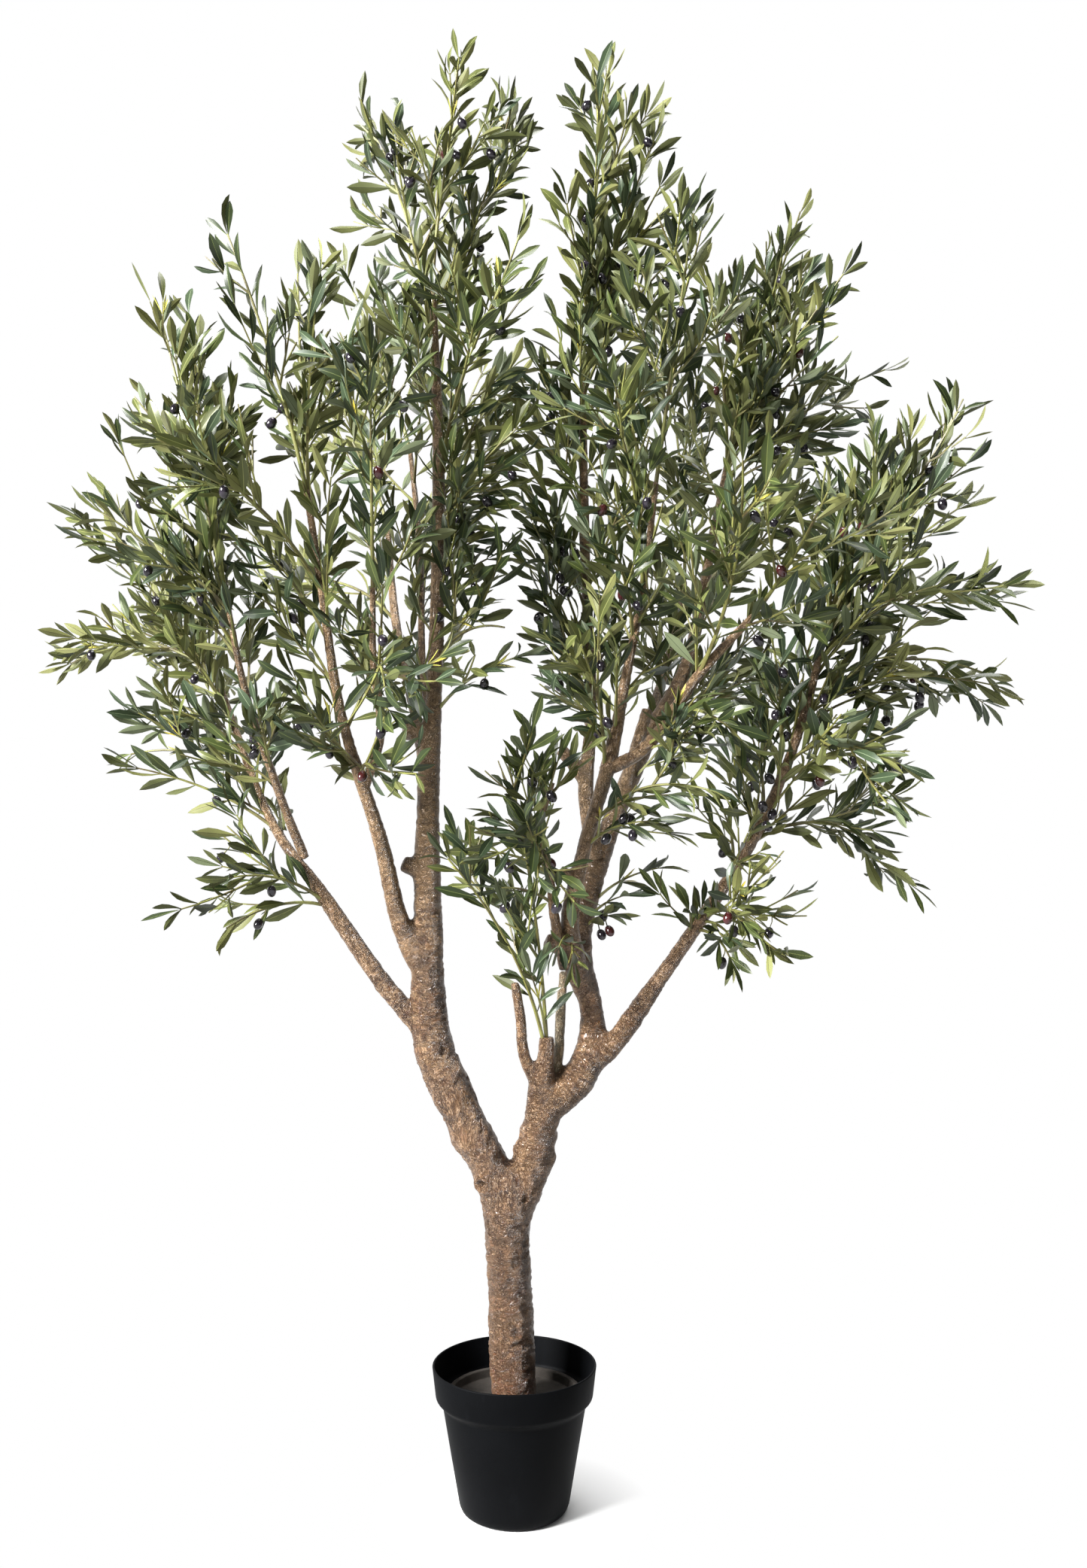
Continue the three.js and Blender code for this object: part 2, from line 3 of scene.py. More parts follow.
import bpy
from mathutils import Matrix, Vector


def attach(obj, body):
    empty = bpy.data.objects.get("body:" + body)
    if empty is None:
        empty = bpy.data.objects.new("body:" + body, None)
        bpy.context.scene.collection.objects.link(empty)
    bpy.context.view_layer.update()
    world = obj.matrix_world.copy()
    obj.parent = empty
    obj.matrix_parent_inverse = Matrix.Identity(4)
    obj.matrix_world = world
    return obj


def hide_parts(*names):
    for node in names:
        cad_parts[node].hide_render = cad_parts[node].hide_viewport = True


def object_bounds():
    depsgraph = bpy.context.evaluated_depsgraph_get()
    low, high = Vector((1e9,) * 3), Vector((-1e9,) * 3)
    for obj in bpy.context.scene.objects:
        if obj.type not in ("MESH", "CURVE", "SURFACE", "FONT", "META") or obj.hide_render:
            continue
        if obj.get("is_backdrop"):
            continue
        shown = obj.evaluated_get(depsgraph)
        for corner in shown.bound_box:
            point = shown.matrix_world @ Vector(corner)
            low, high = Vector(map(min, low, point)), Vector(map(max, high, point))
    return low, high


bl_info = {
    "name": "Potted Olive Tree",
    "version": (1, 0, 0),
    "blender": (4, 5, 0),
    "location": "3D View > Sidebar > Olive Tree",
    "description": "Builds an artificial olive tree in a plastic pot, limb by limb and spray by spray",
    "category": "Add Mesh",
}

import itertools
import math

import bpy
import numpy as np
from mathutils import Vector

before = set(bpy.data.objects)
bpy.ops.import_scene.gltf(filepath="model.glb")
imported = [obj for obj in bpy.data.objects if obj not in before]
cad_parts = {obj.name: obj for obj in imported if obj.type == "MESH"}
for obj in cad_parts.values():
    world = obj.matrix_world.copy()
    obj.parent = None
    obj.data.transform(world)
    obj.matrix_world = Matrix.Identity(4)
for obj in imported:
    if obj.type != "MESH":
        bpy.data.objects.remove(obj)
CAD_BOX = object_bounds()

MM = 0.001


def linear(hex_colour, alpha=True):
    """An sRGB hex colour as the linear values that Blender's sockets take."""
    parts = [int(hex_colour[i : i + 2], 16) / 255 for i in (1, 3, 5)]
    values = [p / 12.92 if p <= 0.04045 else ((p + 0.055) / 1.055) ** 2.4 for p in parts]
    return (*values, 1.0) if alpha else tuple(values)


# Sizes of the solids, in millimetres: the limbs, the stems of the foliage and the rule that they grow by.

FILL_LEVEL = 157
FILL_TOP_RADIUS = 97.8
FILL_RING_LEVEL = 170
TRUNK_SINK = 12

# The trunk's shaft and the two arms of its fork. A row is x, y, z and radius.
TRUNK = [
    [(1, 0, FILL_LEVEL - TRUNK_SINK, 32), (-4, 0, 226, 34), (-8, 0, 340, 33), (-12, 0, 392, 33),
     (-10, 0, 424, 37), (-7, 0, 456, 37), (-4, 0, 492, 27)],
    [(-16, 0, 432, 29), (-32, 0, 482, 29), (-63, 0, 548, 28)],
    [(0, 0, 432, 28), (14, 0, 464, 30), (27, 0, 502, 29.5), (32, 0, 524, 28)],
]

BOUGHS = {
    "left_main": [(-58, 0, 538, 27.5), (-92, 0, 606, 29.5), (-117, 0, 664, 30), (-122, 0, 728, 25.5),
                  (-125, 0, 905, 20), (-124, 4, 1040, 16.5), (-114, 15, 1219, 11.5), (-111, 30, 1500, 9.8),
                  (-119, 20, 1765, 5)],
    "left_low": [(-118, 0, 668, 15), (-187, 0, 752, 13), (-281, 25, 881, 11), (-356, 60, 978, 7.5),
                 (-452, 130, 1195, 5)],
    "left_low_fork": [(-306, 36, 930, 8), (-334, 10, 1012, 6.5), (-374, -70, 1174, 5.2),
                      (-389, -120, 1293, 4)],
    "left_mid": [(-126, -2, 762, 15), (-145, -8, 800, 17), (-164, -15, 846, 14.5), (-187, -40, 956, 11),
                 (-237, -85, 1133, 7.5), (-260, -130, 1315, 6), (-275, -155, 1433, 4.5)],
    "left_mid_fork": [(-208, -58, 1034, 7), (-183, -85, 1108, 6), (-189, -120, 1199, 5.2),
                      (-187, -150, 1303, 4)],
    "left_thin": [(-120, 10, 1132, 7), (-134, 40, 1198, 5.5), (-145, 118, 1396, 5), (-164, 170, 1552, 4)],
    "back_left": [(-124, 4, 1040, 11), (-145, 90, 1124, 9), (-190, 215, 1290, 7), (-215, 330, 1464, 4.5)],
    "right_main": [(31, 0, 512, 27), (35, 0, 545, 27), (46, 2, 574, 26.5), (92, 9, 614, 26.5),
                   (110, 14, 652, 24), (113, 20, 700, 18), (96, 33, 810, 16), (125, 50, 933, 17),
                   (187, 85, 1086, 15), (257, 115, 1219, 10), (304, 150, 1433, 7), (326, 165, 1537, 5)],
    "centre": [(31, -2, 548, 20), (38, -5, 606, 19), (45, -8, 645, 13.5), (46, -8, 679, 12)],
    "right_low": [(104, 12, 628, 17), (144, 4, 668, 16), (178, -5, 717, 15), (208, -13, 762, 11.5),
                  (257, -30, 836, 10), (338, -60, 969, 9), (396, -92, 1120, 7), (425, -110, 1246, 5)],
    "right_front": [(101, 22, 738, 15), (84, 0, 792, 18), (79, -20, 848, 14), (97, -45, 941, 10.5),
                    (134, -75, 1074, 10.5), (156, -75, 1186, 7.2), (178, -75, 1302, 6),
                    (198, -75, 1458, 4.5)],
    "front_small": [(74, -6, 776, 11), (58, -35, 845, 7.5), (50, -62, 914, 6), (36, -90, 972, 5),
                    (54, -120, 1041, 4)],
    "right_reach": [(124, -68, 1056, 9.5), (178, -98, 1086, 9), (253, -150, 1189, 7), (319, -200, 1262, 5)],
    "right_up": [(122, 44, 928, 13), (104, 52, 1017, 12.5), (112, 68, 1141, 9), (103, 79, 1390, 8),
                 (100, 80, 1634, 5)],
    "back_right": [(171, 76, 1046, 12), (205, 160, 1134, 9.5), (245, 260, 1254, 7), (275, 340, 1374, 5)],
}

# Sawn stubs and thin shoots, each with the bough that carries it.
STUBS = [
    ("left_main", [(-124, 0, 912, 13), (-146, -6, 920, 13), (-160, -8, 926, 12)]),
    ("left_main", [(-123, 6, 1108, 14), (-146, 0, 1114, 14), (-160, -4, 1116, 13)]),
    ("right_main", [(158, 70, 1020, 11), (178, 62, 1090, 10), (195, 56, 1150, 9)]),
    ("right_front", [(84, -2, 800, 16), (58, -16, 812, 15), (44, -20, 816, 13)]),
    ("right_front", [(86, -34, 900, 8), (76, -42, 912, 8), (66, -48, 918, 7.5)]),
    ("right_up", [(105, 54, 1040, 11), (78, 52, 1078, 10), (66, 50, 1090, 9)]),
    ("centre", [(34, -6, 606, 10), (14, -12, 652, 9), (9, -18, 706, 8), (1, -24, 757, 6.3)]),
    ("centre", [(46, 4, 590, 9), (62, 16, 640, 8), (66, 22, 702, 7.5), (71, 24, 768, 6)]),
]

# A mass of foliage: its bough, the share of the bough's length where its stem leaves, the point that its
# last leaf reaches, the spread of its twigs about the stem, how far its stem arches up, and fruit.
MASSES = {
    "top_left_peak": ("left_main", 1, (-65, -20, 2088), 110, 0, 1),
    "top_left_side": ("left_main", 0.93, (-238, 130, 2090), 105, 0, 1),
    "top_left_right": ("left_main", 0.88, (21, 170, 2095), 105, 0, 0),
    "left_spike": ("left_mid", 1, (-397, -170, 1817), 95, 10, 0),
    "left_shoulder": ("left_low_fork", 1, (-499, -80, 1728), 100, 10, 0),
    "left_reach_high": ("left_mid", 0.8, (-493, -300, 1490), 100, 20, 0),
    "left_reach_mid": ("left_low_fork", 0.8, (-597, -160, 1427), 92, 20, 0),
    "left_reach_low": ("left_low", 1, (-715, 150, 1246), 95, 25, 1),
    "left_skirt": ("left_low", 0.7, (-655, 215, 1071), 66, 25, 0),
    "left_skirt_low": ("left_low", 0.38, (-429, -120, 898), 85, 20, 1),
    "left_star": ("left_mid_fork", 0.5, (-142, -400, 1125), 90, 0, 0),
    "left_tuft": ("left_mid", 0.42, (-145, -235, 1010), 80, 20, 0),
    "left_inner_back": ("left_thin", 1, (-300, 260, 1905), 110, 0, 0),
    "left_inner": ("left_mid", 0.9, (-311, 0, 1813), 100, 0, 0),
    "left_inner_front": ("left_mid_fork", 1, (-173, -310, 1620), 105, 0, 1),
    "mid_left_front": ("left_main", 0.77, (11, -260, 1708), 105, 0, 0),
    "mid_left_out": ("left_main", 0.55, (31, -150, 1232), 84, 15, 0),
    "mid_left_back": ("left_main", 0.7, (-48, 340, 1738), 110, 0, 0),
    "left_back_side": ("left_low", 0.83, (-628, 370, 1356), 105, 10, 0),
    "back_left_top": ("back_left", 1, (-335, 430, 1740), 120, 0, 0),
    "back_left_side": ("back_left", 0.62, (-471, 470, 1381), 112, 18, 0),
    "top_right_peak": ("right_up", 1, (141, 50, 2095), 110, 0, 1),
    "right_crest": ("right_front", 1, (249, -170, 1854), 105, 0, 0),
    "right_horn": ("right_main", 1, (460, 200, 1985), 105, 0, 1),
    "right_shoulder": ("right_main", 0.93, (648, 330, 1735), 100, 10, 0),
    "right_reach_high": ("right_low", 1, (669, -30, 1565), 100, 15, 0),
    "right_reach_mid": ("right_low", 0.93, (644, -230, 1307), 100, 20, 0),
    "right_reach_low": ("right_low", 0.84, (735, 30, 1175), 84, 30, 1),
    "right_skirt": ("right_low", 0.73, (508, -260, 1041), 84, 20, 1),
    "right_skirt_low": ("right_low", 0.56, (575, 50, 910), 84, 25, 0),
    "right_star": ("right_low", 0.38, (360, -160, 819), 88, 20, 1),
    "right_inner_high": ("right_reach", 1, (394, -400, 1422), 110, 0, 0),
    "right_inner_front": ("right_reach", 0.62, (269, -440, 1457), 110, 0, 0),
    "centre_right_front": ("right_front", 0.8, (104, -320, 1568), 105, 0, 0),
    "centre_right_low": ("right_front", 0.44, (72, -260, 1251), 84, 0, 0),
    "right_low_fan": ("right_front", 0.34, (304, -240, 1012), 95, 25, 0),
    "centre_left_tip": ("centre", 0.8, (-123, -130, 975), 66, 15, 0),
    "centre_up": ("centre", 1, (-19, -170, 1131), 88, 0, 0),
    "front_star": ("front_small", 0.62, (32, -240, 863), 76, 10, 1),
    "back_right_top": ("back_right", 1, (231, 420, 1862), 120, 0, 0),
    "back_right_side": ("back_right", 0.72, (596, 450, 1560), 115, 10, 0),
    "back_right_low": ("back_right", 0.4, (504, 370, 1180), 108, 20, 0),
}

# The rule of growth, as in the solids.
LIMB_STEP = 110
SOLID_LEAF = 112
STEM_KNEE = 0.45
STEM_TURN = 0.5
STEM_LINE_STEPS = 12
BARE_SHARE = 0.16
SOLID_TWIG_STEP = 27
SOLID_TWIG_MIN = 26
TWIG_LEAN = 46
TWIG_BEND = 0.3
TWIG_REACH = 1.42
TWIG_REACH_LOSS = 0.5
GOLDEN_ANGLE = 137.5
TWIG_VARIATION = {"spin": 15, "lean": 8, "reach": 0.1}
SEED_STEP = 1000

# The rule carried on to the real twigs and leaves. A pair of numbers with a name in the plural is where an
# even random number starts and how far up it reaches, unless a comment says otherwise.

# First seeds of the masses, the limbs' shoots and the sprays.
MASS_SEEDS = 7_000_000
LIMB_SEEDS = 9_000_000
SPRAY_SEEDS = 11_000_000

# How far past the middle between two stems a twig may reach, and how far it keeps from a limb's skin.
SPACE_SLACK = 28
LIMB_CLEARANCE = 4

# Radii at the root and at the tip, and how much of a leaf's length the wood stops short of the last tip.
STEM_RADII = (3.1, 1.3)
SPRAY_RADII = (3.0, 1.2)
TWIG_RADIUS = 2.1
FORK_RADIUS = 1.6
SPRAY_TWIG_RADIUS = 1.8
LIMB_SHOOT_RADIUS = 2.6
TWIG_TIP_RADIUS = 1.15
STEM_GAP = 0.85
TWIG_GAP = 0.8
STEM_POINTS = 15
SPRAY_POINTS = 12
SHOOT_POINTS = 7
STEM_SIDES = 6
TWIG_SIDES = 4

# A stem's twigs: the lowest are the longest, as shares of the rule's reach, and some are left out.
LOW_TWIG = 1.6
TIP_TWIG = 0.95
TWIG_CHANCE = 0.72

# A twig: the shortest one, how it turns up, sways and bends, and where its first leaves stand.
LEAST_TWIG = 12
TWIG_RISE = 0.28
TWIG_SWAY = 0.2
TWIG_CURVE = 0.45
FIRST_LEAVES = 13

# Its forks: shares of its length, the least reach of a twig that has them, and their own reach.
FORK_SHARES = (0.36, 0.6)
FORK_LEAST = (130, 185)
FORK_LEAN = 34
FORK_SPIN = 30
FORK_REACH = 0.6
FORK_ADDED = 40
FORK_LEAF_SIZE = 0.92

# Shoots along a limb: their spin and lean past the rule's, in degrees, their bend and their reach.
LIMB_SHOOT_SPIN = 30
LIMB_SHOOT_LEAN = 10
LIMB_SHOOT_BEND = 0.28
LIMB_SHOOT_REACHES = (0.7, 0.5)

# Pairs of leaves: how they vary in lean and size, and how both fall off over the last stretch of a twig.
LEAN_SPREAD = 9
TIP_STRETCH = 60
TIP_LEAN_LOSS = 12
TIP_SIZE_LOSS = 0.12
TIP_CLEAR = 5
LEAF_SIZES = (0.78, 0.42)
PAIR_OFFSET = 3
PAIR_SPIN = 40
PAIR_STEPS = (0.85, 0.3)

# The tuft at a twig's end: one leaf nearly straight on and two beside it.
END_LEAN = 7
END_SIZE = 0.92
TUFT_LEANS = (24, 10)
TUFT_SIZES = (0.66, 0.2)
TUFT_SPIN = 60

# Young leaves, in threes, on some twigs.
YOUNG_CHANCE = 0.08
YOUNG_PLACES = (0.35, 0.5)
YOUNG_LEANS = (16, 12)
YOUNG_SIZES = (0.4, 0.12)
YOUNG_CURL = 0.2
YOUNG_WIDTH = 0.5

# One leaf: how far it may turn about its own length, how it curls and twists, in degrees, and its width as
# a share. Some roll back, and some show their lower face.
LEAF_TURN = 110
LEAF_CURLS = (8, 46)
LEAF_TWIST = 50
SLIM_SHARES = (0.8, 0.35)
ROLL_BACK = 30
ROLL_BACK_CHANCE = 0.2
BACK_CHANCE = 0.25

# How far up the upper faces look, set against a leaf's distance from the tree's axis.
FACE_RISE = 60

# The least distance between the middles of two leaves.
LEAF_GAP = 5.5

# Places on a leaf that have to be clear: shares of its length, and how far a curled one drops there.
SAMPLE_SHARES = np.array([[0.35], [0.68], [0.97]])
SAMPLE_DROPS = np.array([[0.03], [0.12], [0.24]])

# The chance that a twig keeps its stem's colour, and a leaf its twig's. A stem takes one of the first three.
TWIG_TONE_CHANCE = 0.55
LEAF_TONE_CHANCE = 0.8
STEM_TONES = 3

# Olives: the chance of one, where it hangs as a share of the wood, and its stalk in millimetres.
STEM_OLIVE_CHANCE = 0.6
STEM_OLIVE_PLACES = (0.6, 0.35)
TWIG_OLIVE_CHANCE = 0.2
TWIG_OLIVE_PLACES = (0.5, 0.5)
SPRAY_OLIVE_CHANCE = 0.5
SPRAY_OLIVE_PLACES = ((0.45, 0.25), (0.7, 0.25))
SPRAY_TWIG_OLIVE_CHANCE = 0.24
FRUIT_STEP = 3
STALK_SWING = 1.6
STALK_LENGTHS = (12, 12)
OLIVE_CLEAR = 24
RED_CHANCE = 0.09

# Shoots that leave a limb below its masses: the shares of the limb's length between which they grow,
# the step from one to the next and their reach.
LIMB_SHOOTS = {
    "left_main": (0.42, 0.97, 62, 205),
    "left_low": (0.5, 0.97, 64, 165),
    "left_low_fork": (0.2, 0.95, 62, 165),
    "left_mid": (0.34, 0.97, 62, 175),
    "left_mid_fork": (0.2, 0.95, 62, 165),
    "left_thin": (0.25, 0.95, 60, 190),
    "back_left": (0.25, 0.95, 60, 190),
    "right_main": (0.5, 0.97, 58, 195),
    "right_low": (0.42, 0.97, 58, 180),
    "right_front": (0.4, 0.97, 60, 195),
    "front_small": (0.35, 0.95, 70, 130),
    "right_reach": (0.2, 0.95, 56, 175),
    "right_up": (0.2, 0.97, 56, 205),
    "back_right": (0.25, 0.95, 60, 190),
}

# Longer sprays that fill the crown between the masses: the bough, the share of its length, the tip, and
# how many of the side twigs grow, as a share.
SPRAYS = [
    ("left_main", 0.7, (45, -90, 1560), 1),
    ("left_main", 0.8, (20, -30, 1640), 1),
    ("left_main", 0.8, (-210, -50, 1765), 1),
    ("left_main", 0.49, (55, -60, 1228), 0.5),
    ("left_main", 0.6, (-25, -70, 1340), 0.6),
    ("left_main", 0.66, (-15, -60, 1430), 0.8),
    ("left_main", 0.7, (15, -120, 1480), 1),
    ("left_low", 0.8, (-545, 60, 1165), 1),
    ("left_low", 0.75, (-605, 80, 1135), 0.6),
    ("left_low", 0.6, (-610, 40, 1072), 0.3),
    ("left_low", 0.38, (-450, -60, 800), 0.5),
    ("left_low", 0.9, (-525, 40, 1300), 1),
    ("left_low", 0.97, (-600, 60, 1400), 1),
    ("left_low", 0.97, (-660, 20, 1440), 0.5),
    ("left_low_fork", 0.4, (-335, -140, 1130), 1),
    ("left_low_fork", 0.85, (-470, -140, 1400), 1),
    ("left_low_fork", 0.95, (-560, -120, 1370), 1),
    ("left_low_fork", 0.9, (-455, -60, 1330), 1),
    ("left_mid", 0.45, (-335, -150, 1120), 1),
    ("left_mid", 0.7, (-400, -130, 1420), 1),
    ("right_up", 0.95, (215, 40, 2015), 0.8),
    ("right_up", 0.97, (190, 100, 1965), 1),
    ("right_up", 0.5, (5, 0, 1480), 1),
    ("right_up", 0.35, (5, -20, 1400), 1),
    ("right_up", 0.3, (15, -50, 1340), 1),
    ("right_up", 0.75, (50, 60, 1770), 1),
    ("right_reach", 0.2, (290, -190, 1085), 1),
    ("right_reach", 0.45, (330, -220, 1050), 1),
    ("right_front", 0.3, (225, -170, 985), 1),
    ("right_front", 0.5, (70, -170, 1180), 1),
    ("right_front", 0.7, (120, -190, 1380), 1),
    ("right_main", 0.32, (195, -40, 885), 0.4),
    ("right_main", 0.31, (165, -60, 845), 0.3),
    ("right_main", 0.34, (258, -30, 925), 0.4),
    ("right_main", 0.8, (430, 40, 1500), 1),
    ("right_main", 0.95, (505, 120, 1545), 1),
    ("right_main", 0.97, (400, 120, 1700), 1),
    ("right_main", 0.98, (345, 60, 1680), 1),
    ("right_main", 0.99, (468, 170, 1825), 1),
    ("right_low", 0.38, (322, -110, 775), 1),
    ("right_low", 0.4, (262, -120, 868), 1),
    ("right_low", 0.55, (330, -160, 1080), 1),
    ("right_low", 0.6, (425, -130, 1095), 1),
    ("right_low", 0.62, (300, -140, 1150), 1),
    ("right_low", 0.68, (500, -120, 1095), 1),
    ("right_low", 0.72, (545, -90, 1165), 1),
    ("right_low", 0.8, (625, -20, 1170), 1),
    ("right_low", 0.9, (560, -60, 1325), 1),
    ("right_low", 0.93, (605, 40, 1350), 1),
    ("right_low", 0.95, (450, -60, 1380), 1),
    ("right_low", 0.97, (665, -60, 1450), 0.3),
    ("right_low", 0.98, (605, -40, 1505), 1),
    ("right_low", 0.99, (525, -60, 1525), 1),
    ("left_low_fork", 0.99, (-440, -60, 1700), 1),
    ("left_low_fork", 0.97, (-500, -100, 1490), 1),
    ("left_low_fork", 0.8, (-420, -150, 1400), 1),
    ("left_low", 0.72, (-330, 40, 1200), 1),
    ("left_low", 0.8, (-580, 120, 1190), 1),
    ("left_mid", 0.4, (-330, -120, 1225), 1),
    ("left_mid", 0.75, (-235, -160, 1500), 1),
    ("left_main", 0.72, (5, -60, 1440), 1),
    ("right_up", 0.9, (250, 40, 1775), 1),
    ("right_main", 0.99, (265, 20, 1810), 1),
    ("right_main", 0.99, (475, 190, 1835), 1),
    ("right_main", 0.97, (540, 150, 1590), 1),
    ("right_low", 0.78, (480, -120, 1230), 1),
    ("right_low", 0.82, (545, -60, 1235), 1),
    ("left_low", 0.66, (-590, 0, 1165), 1),
    ("front_small", 0.5, (-95, -120, 945), 0.3),
    ("front_small", 0.35, (-70, -100, 890), 0.5),
    ("front_small", 0.6, (-60, -130, 1010), 0.3),
    ("front_small", 0.8, (75, -170, 1110), 1),
    ("right_up", 0.99, (240, 40, 1960), 1),
    ("right_main", 0.99, (500, 80, 1790), 1),
    ("right_main", 0.98, (520, 60, 1735), 0.6),
    ("right_low", 0.5, (262, -130, 1040), 1),
    ("right_reach", 0.3, (262, -210, 1100), 1),
    ("right_low", 0.75, (400, -120, 1240), 1),
    ("right_low", 0.99, (560, -20, 1560), 1),
    ("right_low", 0.83, (730, -40, 1163), 0.7),
    ("left_main", 0.66, (-5, -20, 1400), 1),
    ("left_main", 0.88, (-190, -20, 1760), 1),
    ("right_main", 0.99, (520, 60, 1835), 1),
    ("right_up", 1.0, (225, 30, 2025), 1),
    ("right_low", 0.34, (225, -110, 890), 1),
    ("right_low", 0.36, (310, -120, 745), 0.6),
    ("right_up", 0.4, (0, -40, 1450), 1),
    ("right_up", 0.35, (-10, -60, 1380), 1),
    ("left_main", 0.7, (10, -80, 1420), 1),
    ("left_low_fork", 0.97, (-450, -80, 1665), 1),
    ("right_low", 0.7, (330, -150, 1300), 1),
    ("left_mid", 0.97, (-262, -60, 1800), 1),
    ("left_low_fork", 0.99, (-462, -40, 1745), 1),
    ("left_mid", 0.6, (-390, -110, 1370), 0.8),
    ("left_low", 0.99, (-590, 0, 1580), 0.3),
    ("right_up", 0.97, (270, 60, 1850), 0.7),
    ("right_main", 0.99, (462, 120, 1850), 0.6),
    ("right_reach", 0.9, (335, -220, 1300), 0.8),
    ("right_low", 0.99, (465, -60, 1500), 0.8),
    ("left_main", 0.62, (10, -60, 1370), 0.6),
    ("right_up", 0.8, (20, 60, 1700), 0.6),
    ("right_front", 0.35, (262, -150, 1020), 0.8),
    ("right_low", 0.36, (262, -90, 900), 0.6),
    ("right_front", 0.12, (50, -120, 775), 0.6),
    ("right_front", 0.1, (90, -120, 750), 0.6),
    ("centre", 0.95, (10, -90, 810), 0.3),
    ("right_up", 0.7, (15, 20, 1690), 0.8),
    ("right_up", 0.55, (-5, -20, 1530), 0.6),
    ("left_main", 0.75, (15, 60, 1520), 0.8),
]

# A spray's twigs: how much of its length they are counted by, their step, reach and lean, the shares of it
# where the first may stand and how far on the last, and how their reach falls off towards its tip.
SPRAY_LEAFY = 0.75
SPRAY_FORK_STEP = 66
SPRAY_FORK_REACH = 135
SPRAY_FORK_LEAN = 42
SPRAY_FORK_SHARES = (0.2, 0.65)
SPRAY_REACH_SHARES = (1.15, 0.5)
SPRAY_LEAF_SIZE = 0.95
SPRAY_BARE_SHARE = 0.18

# Where the camera stands, in millimetres.
EYE = (41.7, -2234, 1039)

# Places where the sky shows through the crown, and where no leaf hides a limb: centre x and z and half
# sizes, as the camera sees them on the plane of the trunk.
OPENINGS = [
    (-132, 2018, 35, 58), (-258, 1958, 38, 130), (17, 2085, 47, 54), (55, 1960, 32, 65), (41, 1856, 15, 45),
    (-373, 1867, 28, 65), (-306, 1856, 60, 37), (-263, 1705, 22, 28), (-344, 1737, 17, 30),
    (-395, 1656, 19, 24), (-548, 1646, 28, 43), (-330, 1624, 13, 30), (-161, 1624, 15, 26),
    (-60, 1602, 19, 24), (-31, 1656, 15, 17), (-161, 1494, 22, 16), (-337, 1462, 28, 39),
    (-231, 1327, 19, 30), (-164, 1295, 19, 54), (-222, 1101, 19, 30), (-274, 1063, 22, 17),
    (7, 1273, 32, 28), (-37, 1111, 41, 56), (17, 1160, 26, 24), (-72, 1030, 19, 45), (-64, 815, 35, 56),
    (48, 1127, 15, 30), (66, 987, 15, 45), (-609, 1127, 45, 24), (-555, 1101, 35, 17), (-425, 987, 50, 13),
    (-382, 879, 32, 11), (201, 949, 35, 13), (179, 771, 45, 52), (406, 917, 30, 22), (660, 1229, 50, 24),
    (325, 982, 22, 13), (341, 1856, 39, 56), (503, 1689, 58, 56), (163, 1656, 14, 22), (422, 1489, 12, 22),
    (-587, 1313, 43, 28), (654, 1095, 65, 28), (433, 825, 49, 35), (-538, 1494, 41, 26),
    (-488, 922, 28, 15), (606, 1689, 65, 65), (-20, 771, 19, 43), (48, 852, 13, 37), (-64, 993, 15, 24),
    (-47, 1252, 28, 22), (20, 1205, 28, 15), (-576, 1602, 32, 43), (-576, 1484, 28, 26),
    (195, 1878, 16, 32), (317, 1894, 30, 43), (503, 1602, 22, 22), (17, 728, 15, 22),
    (398, 768, 26, 24), (-190, 1885, 18, 24), (-190, 2010, 16, 28), (-250, 1690, 20, 18),
    (-317, 1765, 22, 22), (-455, 1800, 26, 26), (-440, 1735, 18, 20), (-511, 1812, 40, 30),
    (-520, 1650, 30, 36), (-505, 1600, 26, 24), (-500, 1085, 34, 18), (-30, 1810, 20, 28),
    (335, 1490, 21, 25), (398, 1885, 24, 22), (462, 1150, 18, 18), (668, 1280, 22, 20),
    (660, 1620, 36, 30), (668, 1480, 18, 24), (650, 1548, 16, 18), (80, 1290, 14, 22),
    (575, 1085, 22, 24), (-520, 1738, 26, 20), (106, 2110, 45, 36), (-80, 2133, 50, 22),
    (230, 1520, 16, 22), (290, 1495, 16, 20), (-446, 832, 30, 18), (-540, 870, 40, 26),
    (-446, 1030, 22, 20), (-446, 1159, 14, 16), (-58, 2001, 16, 24), (-40, 2075, 18, 20),
    (-68, 985, 16, 16), (-8, 985, 9, 16), (200, 1548, 14, 18), (395, 1613, 14, 18), (589, 1224, 16, 18),
    (200, 1483, 16, 20), (398, 1035, 18, 16), (345, 960, 20, 14), (-452, 1098, 14, 14),
    (-317, 1685, 16, 18), (15, 905, 10, 20), (-20, 850, 12, 16),
]
BARE_LIMBS = [
    (-110, 1699, 13, 47), (-110, 1592, 11, 43), (-109, 1462, 12, 47), (-121, 1246, 22, 97),
    (-119, 1063, 17, 65), (-279, 1408, 13, 43), (-265, 1230, 24, 39), (-239, 1122, 12, 47),
    (-216, 1020, 12, 39), (-195, 1279, 13, 65), (-403, 1257, 12, 47), (-397, 1122, 12, 47),
    (-337, 1003, 15, 43), (109, 1473, 11, 43), (212, 1451, 10, 32), (274, 1322, 13, 47),
    (239, 1181, 41, 28), (147, 1133, 13, 60), (163, 1074, 39, 43), (117, 944, 30, 86), (430, 1187, 12, 47),
    (378, 1030, 13, 43), (-150, 922, 20, 22),
]

# Leaves nearer to the eye than this hide no limb there.
BARE_DEPTH = 60

# A leaf's outline: shares of its length, and of its width there. Its blade folds up from the rib, by a
# share of its half width.
LEAF_STATIONS = (0.07, 0.25, 0.47, 0.69, 0.88)
LEAF_WIDTHS = (0.14, 0.5, 0.88, 1.0, 0.54)
MIDRIB_HALF_WIDTH = 0.55
MIDRIB_LEVEL = 0.12
MIDRIB_THICKNESS = 0.7
BLADE_FOLD = 0.24

